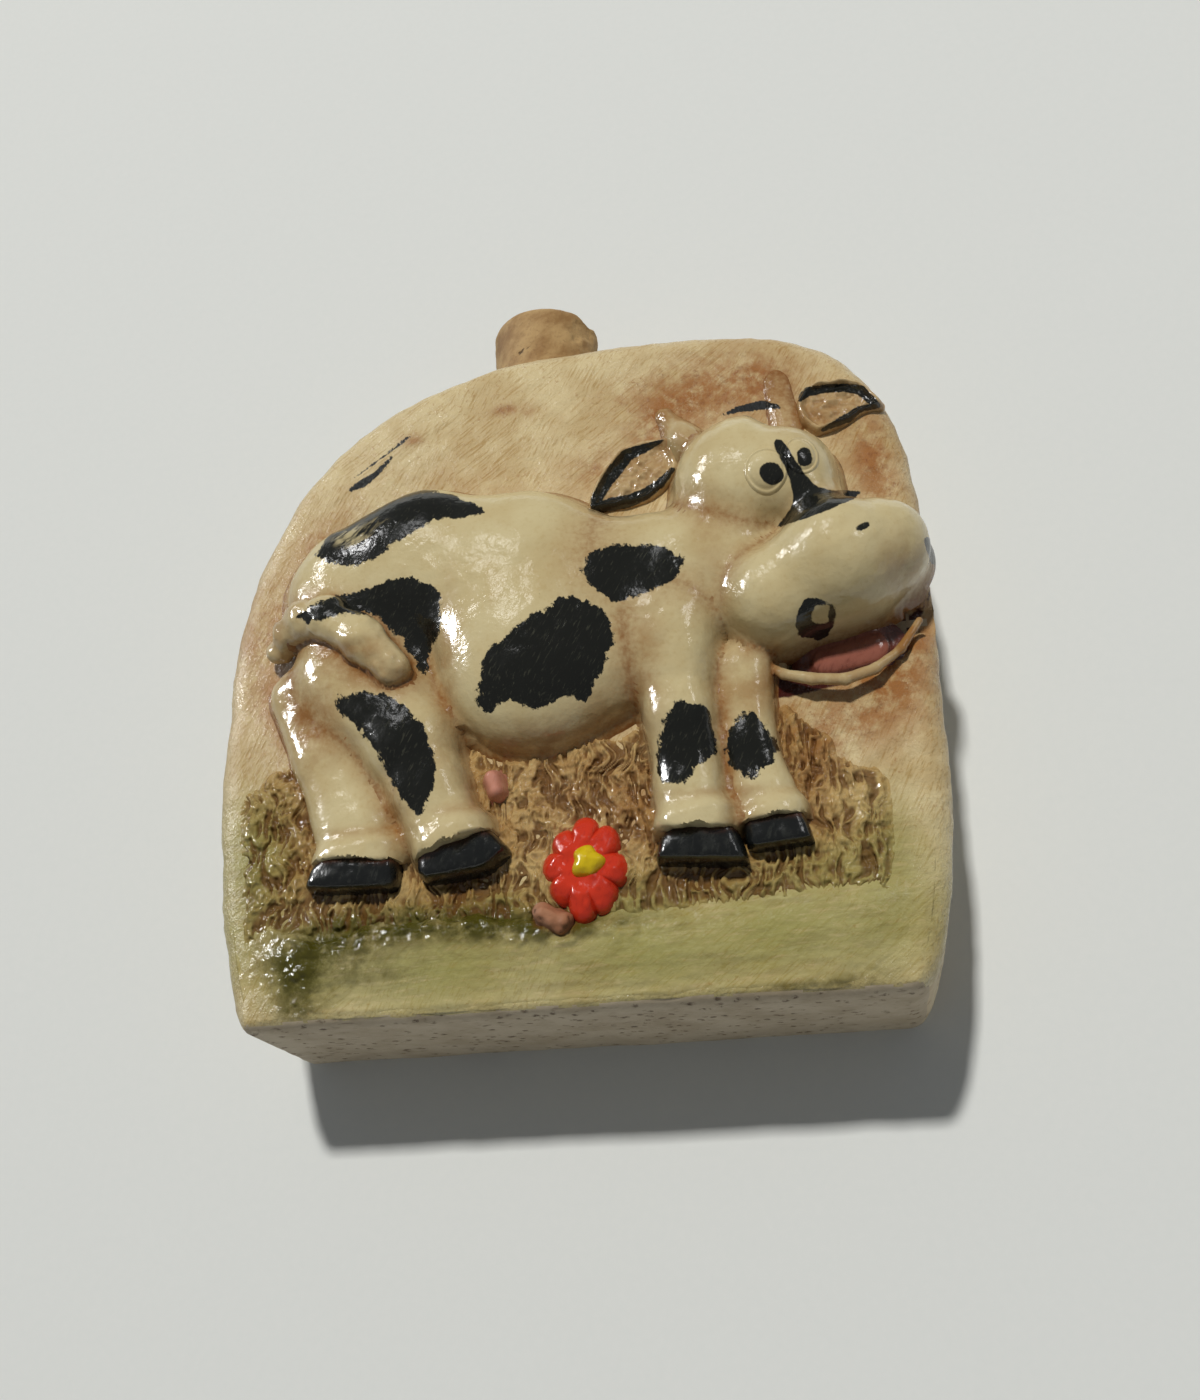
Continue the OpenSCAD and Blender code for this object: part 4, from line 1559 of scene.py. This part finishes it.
@dataclass
class Cow:
    """The cow in relief. A hoof is its height and its corners; an eye its middle, half
    width, half height and how far it stands proud."""

    relief: Relief
    ears: dict[Ear, Outline] = field(default_factory=lambda: {
        Ear.NEAR: ((17.5, 82.6), (12.4, 82.9), (9.2, 81.8), (6.9, 79.2), (5.0, 76.4),
                   (3.9, 73.8), (3.6, 71.2), (7.6, 71.6), (10.6, 71.8), (13.2, 72.5),
                   (15.8, 74.2), (18.2, 77.2)),
        Ear.FAR: ((34.6, 85.6), (36.0, 88.2), (39.0, 89.1), (42.4, 89.0), (45.2, 88.0),
                  (48.0, 84.0), (44.4, 82.9), (42.2, 81.5), (40.0, 80.7), (37.4, 79.9),
                  (35.0, 82.4))})
    hooves: dict[str, tuple[float, Outline]] = field(default_factory=lambda: {
        "near_fore_hoof": (5.4, ((11.8, 17.9), (24.1, 17.0), (23.8, 19.0), (22.6, 22.4),
                                 (13.6, 22.4), (12.3, 20.4))),
        "far_fore_hoof": (4.4, ((23.8, 18.6), (32.6, 19.3), (32.2, 21.2), (31.2, 24.0),
                                (23.4, 23.0))),
        "near_hind_hoof": (5.4, ((-18.6, 17.6), (-10.2, 18.5), (-7.0, 21.2), (-10.2, 24.8),
                                 (-20.0, 21.4), (-19.8, 18.6))),
        "far_hind_hoof": (4.6, ((-35.6, 17.9), (-32.0, 17.3), (-22.6, 17.2), (-22.4, 21.6),
                                (-32.0, 22.6), (-34.8, 20.6)))})
    eyes: dict[str, Spot] = field(default_factory=lambda: {
        "near_eye": (30.3, 69.6, 3.1, 3.3, 1.3), "far_eye": (35.2, 71.4, 2.4, 3.1, 1.1)})

    def hoof(self, name: str) -> bpy.types.Object:
        """A hoof: a block on rounded corners, (1 - p^12)^(1/2.6) of its height at part p."""
        proud, corners = self.hooves[name]
        outline = rounded(corners, 110)

        def height(part: Array, x: Array, z: Array) -> Array:
            """Height of the block, with the lumps of the clay."""
            top = (1 - np.minimum(part, 1.0) ** 12) ** (1 / 2.6)
            lumps = LUMPS.rough(spots(x, 3.0, z), 2.2, 2)
            return proud * top * (1.0 - 0.12 * part ** 3) + 0.2 * lumps * top

        return plate(name, outline, tuple(outline.mean(axis=0)), 30, height)

    def ear(self, which: Ear) -> bpy.types.Object:
        """An ear: a leaf with a rolled edge round a shallow dish."""
        outline = rounded(self.ears[which], 150)

        def height(part: Array, x: Array, z: Array) -> Array:
            """Height of the roll and the dish."""
            spot = spots(x, 9.0, z)
            roll = np.exp(-((part - 0.84) / 0.11) ** 2) * (1 + 0.35 * LUMPS.at(spot, 1.6))
            dish = 0.8 + 0.7 * FIBRE.rough(spot, 1.1, 2)
            edge = smooth_step(part, 1.0, 0.92)
            return -0.5 + edge * (0.5 + 1.5 * roll + dish * smooth_step(part, 0.82, 0.6) * 0.55)

        return plate(which.value, outline, tuple(outline.mean(axis=0)), 44, height, 0.6)

    def eye(self, name: str) -> bpy.types.Object:
        """An eye: a low dome on the head, with a narrow ridge at its edge."""
        x, z, wide, tall, proud = self.eyes[name]

        def height(part: Array, px: Array, pz: Array) -> Array:
            """Height of the head below it and of the dome on that."""
            ground = self.relief.height(px, pz, ("head", "muzzle", "neck"))
            dome = np.sqrt(np.maximum(1.0 - (part * 0.94) ** 2, 0.0))
            ridge, groove = (0.14 * np.exp(-((part - at) / 0.06) ** 2) for at in (0.9, 0.78))
            return ground - 0.5 + proud * dome + ridge - groove

        return plate(name, oval(x, z, wide, tall, circle(90)), (x, z), 26, height, 0.8)

    def build(self, paint: Paint) -> list[bpy.types.Object]:
        """Builds, dresses and places the cow.

        Args:
            paint: Who lays the colours.

        Returns:
            The pieces.
        """
        hide = VarnishedPaint("cow_hide").make()
        black = Enamel("hoof_black", (22, 24, 24), (58, 60, 56), 0.13, (66, 34, 18)).make()
        # The tongue's pink is darkened to a brownish pink: partly its own colour, partly painted
        # shade of the mouth that it lies in.
        pink = Enamel("tongue_pink", (148, 90, 74), (112, 56, 44), 0.12, (70, 26, 20)).make()
        udder = Enamel("udder_pink", (198, 138, 118), (176, 112, 88), 0.25, (140, 84, 50)).make()
        ear = VarnishedPaint("ear_skin", (212, 194, 150), (178, 144, 98), ragged=0.4,
                             relief=0.09).make()
        finishes = {"tongue": pink, "udder": udder, "far_horn": ear}
        slots = {"tongue": "tongue_pink", "udder": "udder_pink"}
        rows = {"torso": 70, "head": 60, "muzzle": 60, "neck": 50}
        pieces = []
        for name in (form.name for form in self.relief.forms if form.name != "pebble"):
            piece = make_piece(name, self.relief.skin(name, rows.get(name, 44)), caps=False)
            pieces.append(paint.dress(piece, finishes.get(name, hide), name,
                                      slots.get(name, "hide"), name))
        for name in self.eyes:
            pieces.append(paint.dress(self.eye(name), hide, name, "hide", "head", 0.4))
        for which in Ear:
            pieces.append(paint.dress(self.ear(which), ear, which.value, "hide", "head", 0.5))
        for name in self.hooves:
            pieces.append(paint.dress(self.hoof(name), black, name, "hoof_black", name))
        return pieces


@dataclass
class Ground:
    """The bank, the grass, the flower and the pebble."""

    relief: Relief
    shell: Shell
    flower: tuple[float, float] = (2.1, 18.5)
    petals: int = 8
    sunk: float = 1.2
    margin: float = 2.6
    grass_foot: float = 10.5
    grass_right: float = 43.6
    bank_top: float = 17.5
    hollow: Array = field(default_factory=lambda: np.zeros(0))

    def grass(self) -> bpy.types.Object:
        """The grass: a thin sheet whose top is combed into short wavy ridges.

        The ridges are 1 - |noise| on places that are themselves shifted by noise, and
        fade out at the sheet's border, where it sinks into the slab.
        """
        part, z = np.meshgrid(np.linspace(0.0, 1.0, 540),
                              np.linspace(self.grass_foot, 42.0, 180))
        left, right = self.shell.span(z)
        end = np.minimum(right - self.margin, self.grass_right)
        x = left + self.margin + part * (end - left - self.margin)
        spot = spots(x, 0.0, z)
        bent = spots(x + 1.2 * WARP.at(spot, 2.6), 0.0, z + 1.0 * WARP.at(spot + 60.0, 2.6))
        comb = 0.8 - 1.9 * np.abs(FIBRE.at(bent, (0.55, 1.0, 2.3)))
        comb += 0.6 * (1.0 - 2.0 * np.abs(FIBRE.at(bent + 31.0, (0.45, 1.0, 1.1))))
        comb += 0.9 * LUMPS.at(spot, 2.2)
        top = np.interp(x, (-49, -42, -36, -20, 5, 24, 30, 36, 41, 44),
                        (33, 36, 37, 38, 39, 39, 40, 35, 31, 26))
        top = top + 2.4 * LUMPS.at(spot + 5.0, 4.0)
        edge = np.minimum.reduce([x - left - self.margin, self.grass_right - x,
                                  z - self.grass_foot, top - z])
        cover = smooth_step(edge, 0.0, 3.6)
        high = -0.6 + cover * (1.15 + 0.46 * comb)
        # how deep each point lies between the ridges; the grass's finish darkens these hollows as
        # painted shade
        self.hollow = np.clip(0.9 - comb, 0.0, 1.5) * cover
        return sheet_piece("grass", spots(x, FACE_Y - high, z), FACE_Y + self.sunk)

    def bank(self) -> bpy.types.Object:
        """The bank: a low smooth swelling along the foot, with a ledge at its top.

        Its height is the product of a rise over the foot's edge, a fall at the ledge,
        whose level wanders with x, and falls at both ends.
        """
        part, z = np.meshgrid(np.linspace(0.0, 1.0, 300), np.linspace(1.0, self.bank_top, 90))
        left, right = self.shell.span(z)
        x = left + 2.4 + part * (right - left - 4.8)
        spot = spots(x, 0.0, z)
        ledge = np.interp(x, (-50, -41, -34, -26, -14, -5, 6, 20, 44, 50),
                          (15.5, 14.0, 11.0, 13.2, 13.3, 11.6, 11.6, 13.0, 14.6, 15))
        ledge = ledge + 0.7 * LUMPS.at(spot + 9.0, 3.0)
        soft = np.interp(x, (-50, -5, 20, 50), (1.0, 1.2, 3.0, 4.0))
        fall = 1.0 - smooth_step((z - ledge) / soft, -1.0, 1.0)
        ends = smooth_step(np.minimum(x - left, right - x), 2.4, 12.0)
        crest = np.exp(-(((z - ledge + 1.2) / 1.7) ** 2)) * smooth_step(x, 24.0, 6.0)
        tufts = LUMPS.at(spot, 1.7) + 0.8 * FIBRE.at(spot, 0.8)
        high = -0.35 + fall * ends * (
            0.4 + 1.3 * smooth_step(z, 1.0, 9.0) + 0.25 * LUMPS.rough(spot, 6.0, 2)
            + 0.06 * FIBRE.rough(spots(x / 5.0, 0.0, z), 0.8, 2) + 0.45 * crest * tufts)
        high -= 0.5 * (1 - smooth_step(z, 1.0, 2.0) * smooth_step(self.bank_top - z, 0.0, 1.0))
        return sheet_piece("ground_bank", spots(x, FACE_Y - high, z), FACE_Y + self.sunk)

    def blossom(self) -> bpy.types.Object:
        """The petals: a dome whose edge and height swing with the petals' number."""
        turn = circle(200)
        swing = np.abs(np.cos(turn * self.petals / 2 + 0.35)) ** 0.55
        spot = spots(np.cos(turn) * 9, np.sin(turn) * 9, 0.0)
        reach = (0.84 + 0.18 * swing) * (1 + 0.12 * LUMPS.at(spot, 5.0))
        outline = oval(*self.flower, 5.6 * reach, 6.7 * reach, turn)

        def height(part: Array, x: Array, z: Array) -> Array:
            """Height of the petals, with a groove between two and a dip in the middle."""
            groove = 1.0 - 0.3 * (1 - swing[None, :]) ** 2 * smooth_step(part, 0.5, 0.95)
            dome = (1 - np.minimum(part, 1.0) ** 3.0) ** 0.5
            lumps = 0.32 * LUMPS.rough(spots(x, 5.0, z), 1.6, 2)
            return 3.3 * dome * groove * (0.75 + 0.25 * part) + lumps * dome

        return plate("flower_petals", outline, self.flower, 34, height)

    def heart(self) -> bpy.types.Object:
        """The flower's yellow middle: a small uneven dome."""
        middle = (self.flower[0] + 0.9, self.flower[1] + 0.4)
        turn = circle(70)
        reach = 2.15 * (1 + 0.12 * np.cos(3 * turn + 0.6) + 0.06 * np.cos(5 * turn))

        def height(part: Array, x: Array, z: Array) -> Array:
            """Height of the dome over the petals."""
            return 2.2 + 1.7 * np.sqrt(1 - np.minimum(part, 1.0) ** 2.6) + 0.2 * LUMPS.rough(
                spots(x, 7.0, z), 1.2, 2)

        return plate("flower_centre", oval(*middle, reach, reach, turn), middle, 18, height)

    def build(self, paint: Paint) -> list[bpy.types.Object]:
        """Builds, dresses and places the ground.

        Args:
            paint: Who lays the colours.

        Returns:
            The pieces.
        """
        red = Enamel("petal_red", (206, 54, 30), (172, 36, 22), 0.14, (110, 40, 20)).make()
        yellow = Enamel("flower_yellow", (214, 186, 22), (190, 150, 14), 0.18,
                        (150, 90, 10)).make()
        stone = RawClay("pebble_clay", (176, 128, 98), (150, 98, 68), (90, 56, 34), 0.6).make()
        green = BrushedSlab("ground_green", gloss=0.08, matt=0.3, grain=0.5, wet=0.15).make()
        straw = BrushedSlab("grass_straw", (198, 170, 116), (164, 126, 70), (138, 92, 48),
                            (92, 56, 26), (136, 132, 70), (92, 86, 36), gloss=0.06,
                            matt=0.16, grain=0.1, wet=1.0).make()
        pebble = make_piece("pebble", self.relief.skin("pebble", 30), caps=False)
        bank, grass = self.bank(), self.grass()
        pieces = []
        for piece, finish, node, slot, own, dirt in (
                (bank, green, "ground_bank", "ground_green", "", 0.8),
                (grass, straw, "", "ground_green", "", 0.8),
                (self.blossom(), red, "flower_petals", "petal_red", "flower_petals", 0.5),
                (self.heart(), yellow, "flower_centre", "flower_yellow", "flower_centre", 0.5),
                (pebble, stone, "pebble", "pebble_clay", "pebble", 0.5)):
            pieces.append(paint.dress(piece, finish, node, slot, own, dirt))
        rest = len(grass.data.vertices) - self.hollow.size
        note(grass, "hollow", np.concatenate([self.hollow.ravel(), np.zeros(rest)]))
        return pieces


@dataclass
class Closure:
    """The cork."""

    x: float = -4.7
    y: float = 0.25
    low: float = 85.9
    high: float = 114.9
    top_radius: float = 8.5
    low_radius: float = 7.35
    bevel: float = 2.4

    def build(self) -> list[bpy.types.Object]:
        """Builds, dresses and places the cork.

        Its surface is a radius as a function of height and turn: a taper with rounded
        ends, pores pressed in, and a chip broken off the upper edge.

        Returns:
            The pieces.
        """
        turn = circle(200)[None, :]
        along = np.linspace(0.0, 1.0, 90)[:, None]
        z = self.low + (self.high - self.low) * along + 0 * turn
        radius = self.low_radius + (self.top_radius - self.low_radius) * along + 0 * turn
        under = np.clip((z - (self.high - self.bevel)) / self.bevel, 0.0, 1.0)
        over = np.clip(self.low + 1.0 - z, 0.0, 1.0)
        radius = radius - self.bevel * (1 - np.sqrt(1 - under ** 2)) - 0.8 * over
        lid = np.linspace(1.0, 0.02, 24)[1:, None]
        z = np.concatenate([z, self.high + 0.3 * (1 - lid ** 2) + 0 * turn])
        radius = np.concatenate([radius, radius[-1:] * lid])
        spot = spots(radius * np.cos(turn), radius * np.sin(turn), z)
        pores = smooth_step(WARP.at(spot, (3.2, 3.2, 1.7)), 0.5, 0.85)
        chip = smooth_step(np.hypot(np.hypot(spot[..., 0] - 7.2, spot[..., 1] + 3.0),
                                    spot[..., 2] - 115.2), 2.8, 1.0)
        radius = radius - 0.4 * pores + 0.08 * LUMPS.rough(spot, 1.5, 2) * (radius > 1)
        radius = radius - 0.9 * chip * (radius > 4)
        z = z - 1.3 * chip - 0.4 * pores * (radius < 7)
        points = spots(self.x + radius * np.cos(turn), self.y + radius * np.sin(turn), z)
        piece = make_piece("cork", points)
        piece.name = "cork_stopper"
        place(piece, "cork", "cork", CorkBark("cork").make(), body="cork")
        return [piece]


def cow_forms() -> tuple[Form, ...]:
    """The masses of the cow and the ground, back to front."""
    return (
        Form("far_hind_leg", ((-38.0, 46.5, 4.4, 3.6), (-33.2, 37, 5.2, 4.4),
                              (-29.8, 28.0, 5.4, 4.4), (-29.0, 25.6, 5.4, 4.5),
                              (-28.4, 22.5, 6.7, 5.6)), blend=1.6, knit=0.8, power=2.6,
             hem=(-27.8, 21.1, -2.0)),
        Form("far_foreleg", ((24.8, 44, 4.2, 4.6), (24.8, 34, 3.8, 4.4), (26.0, 27.6, 4.1, 4.4),
                             (26.5, 26.2, 4.1, 4.5), (27.3, 23.6, 5.0, 5.6)), blend=1.2,
             knit=0.8, power=2.6, hem=(27.4, 22.6, 6.0)),
        Form("torso", ((-28.5, 61.3, 11.8, 7.2), (-19, 65, 11, 7.8), (-5.5, 60, 13.8, 8.8),
                       (-3.8, 49.0, 13.0, 9.4), (4, 51.0, 12.2, 8.8)), blend=2.6, knit=3.0,
             power=2.5, spacing=0.55),
        Form("near_hind_leg", ((-28.4, 48.8, 10, 7.4), (-21.4, 38, 6.7, 7.8),
                               (-18.6, 31, 5.6, 7.0), (-16.6, 26.2, 5.2, 6.5),
                               (-15.0, 23.2, 6.0, 7.6)), blend=2.2, knit=1.0, power=2.7,
             hem=(-15.0, 21.9, 19.0)),
        Form("near_foreleg", ((14.6, 50, 7.6, 9.4), (16.2, 38, 5.1, 8.0), (16.8, 28.6, 4.8, 6.5),
                              (16.9, 26.4, 4.7, 6.4), (17.5, 23.2, 5.9, 7.6)), blend=1.8,
             knit=1.0, power=2.7, hem=(18.5, 21.5, -2.0)),
        Form("neck", ((8, 58.5, 10.5, 8.4), (22, 60, 10, 8.6)), blend=3.0),
        Form("head", ((27.2, 72, 10.8, 10.4), (32.4, 71.8, 7.2, 9.8), (36.2, 66.2, 5.0, 9.2)),
             blend=2.4, knit=3.0),
        Form("muzzle", ((30.0, 53.1, 7.0, 8), (39.4, 57.2, 7.9, 10.5), (44.9, 59.1, 6.3, 8)),
             blend=2.6, lift=3.5, knit=3.0),
        Form("udder", ((-9.8, 31.6, 1.6, 3.6), (-9.3, 29.9, 1.5, 3.5)), blend=1.0,
             spacing=0.35),
        Form("tail", ((-40.7, 53.4, 2.0, 2.6), (-38.9, 54.9, 2.3, 4.6), (-36.2, 55.9, 2.6, 6.4),
                      (-32.2, 55.3, 2.9, 7.6), (-26.8, 51.6, 3.1, 8.2),
                      (-22.6, 47.0, 2.7, 7.8)), blend=0.7, knit=1.0, lumps=0.34,
             spacing=0.3, tube=True),
        Form("near_horn", ((18.8, 81.2, 2.7, 3.6), (15.8, 86.4, 0.9, 1.2)), blend=2.0),
        Form("far_horn", ((33.4, 82.5, 1.7, 1.1), (32.4, 90.2, 1.1, 0.5)), blend=1.2,
             knit=0.6, lumps=0.25),
        Form("lower_lip", ((27.4, 45.2, 0.6, 1.2), (30.2, 42.9, 0.7, 2.2), (34, 41.6, 0.75, 2.8),
                           (38.3, 41.1, 0.75, 2.8), (42.4, 42.5, 0.7, 2.2),
                           (46.0, 45.4, 0.65, 1.3), (48.8, 49.6, 0.5, 0.5)), blend=0.3, knit=0.4,
             spacing=0.2, lumps=0.1, tube=True),
        Form("tongue", ((36.0, 45.0, 2.0, 0.8), (42.2, 46.3, 2.4, 1.2)), blend=0.3,
             spacing=0.3),
        Form("pebble", ((-3, 12.3, 1.7, 3.4), (-0.6, 11.4, 1.5, 3.0)), blend=0.4, knit=0.3,
             lumps=0.7, spacing=0.25),
    )


def main() -> None:
    """Builds the scene in order and reports each piece."""
    logging.basicConfig(level=logging.INFO, format="%(message)s")
    relief = Relief(cow_forms())
    paint = Paint(relief)
    Studio().build()
    shell = Shell(relief=relief)
    pieces = shell.build(paint)
    pieces += Cow(relief).build(paint)
    pieces += Ground(relief, shell).build(paint)
    pieces += Closure().build()
    LOG.info("%d pieces in %d nodes", len(pieces), len(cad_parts))


if __name__ == "__main__":
    main()
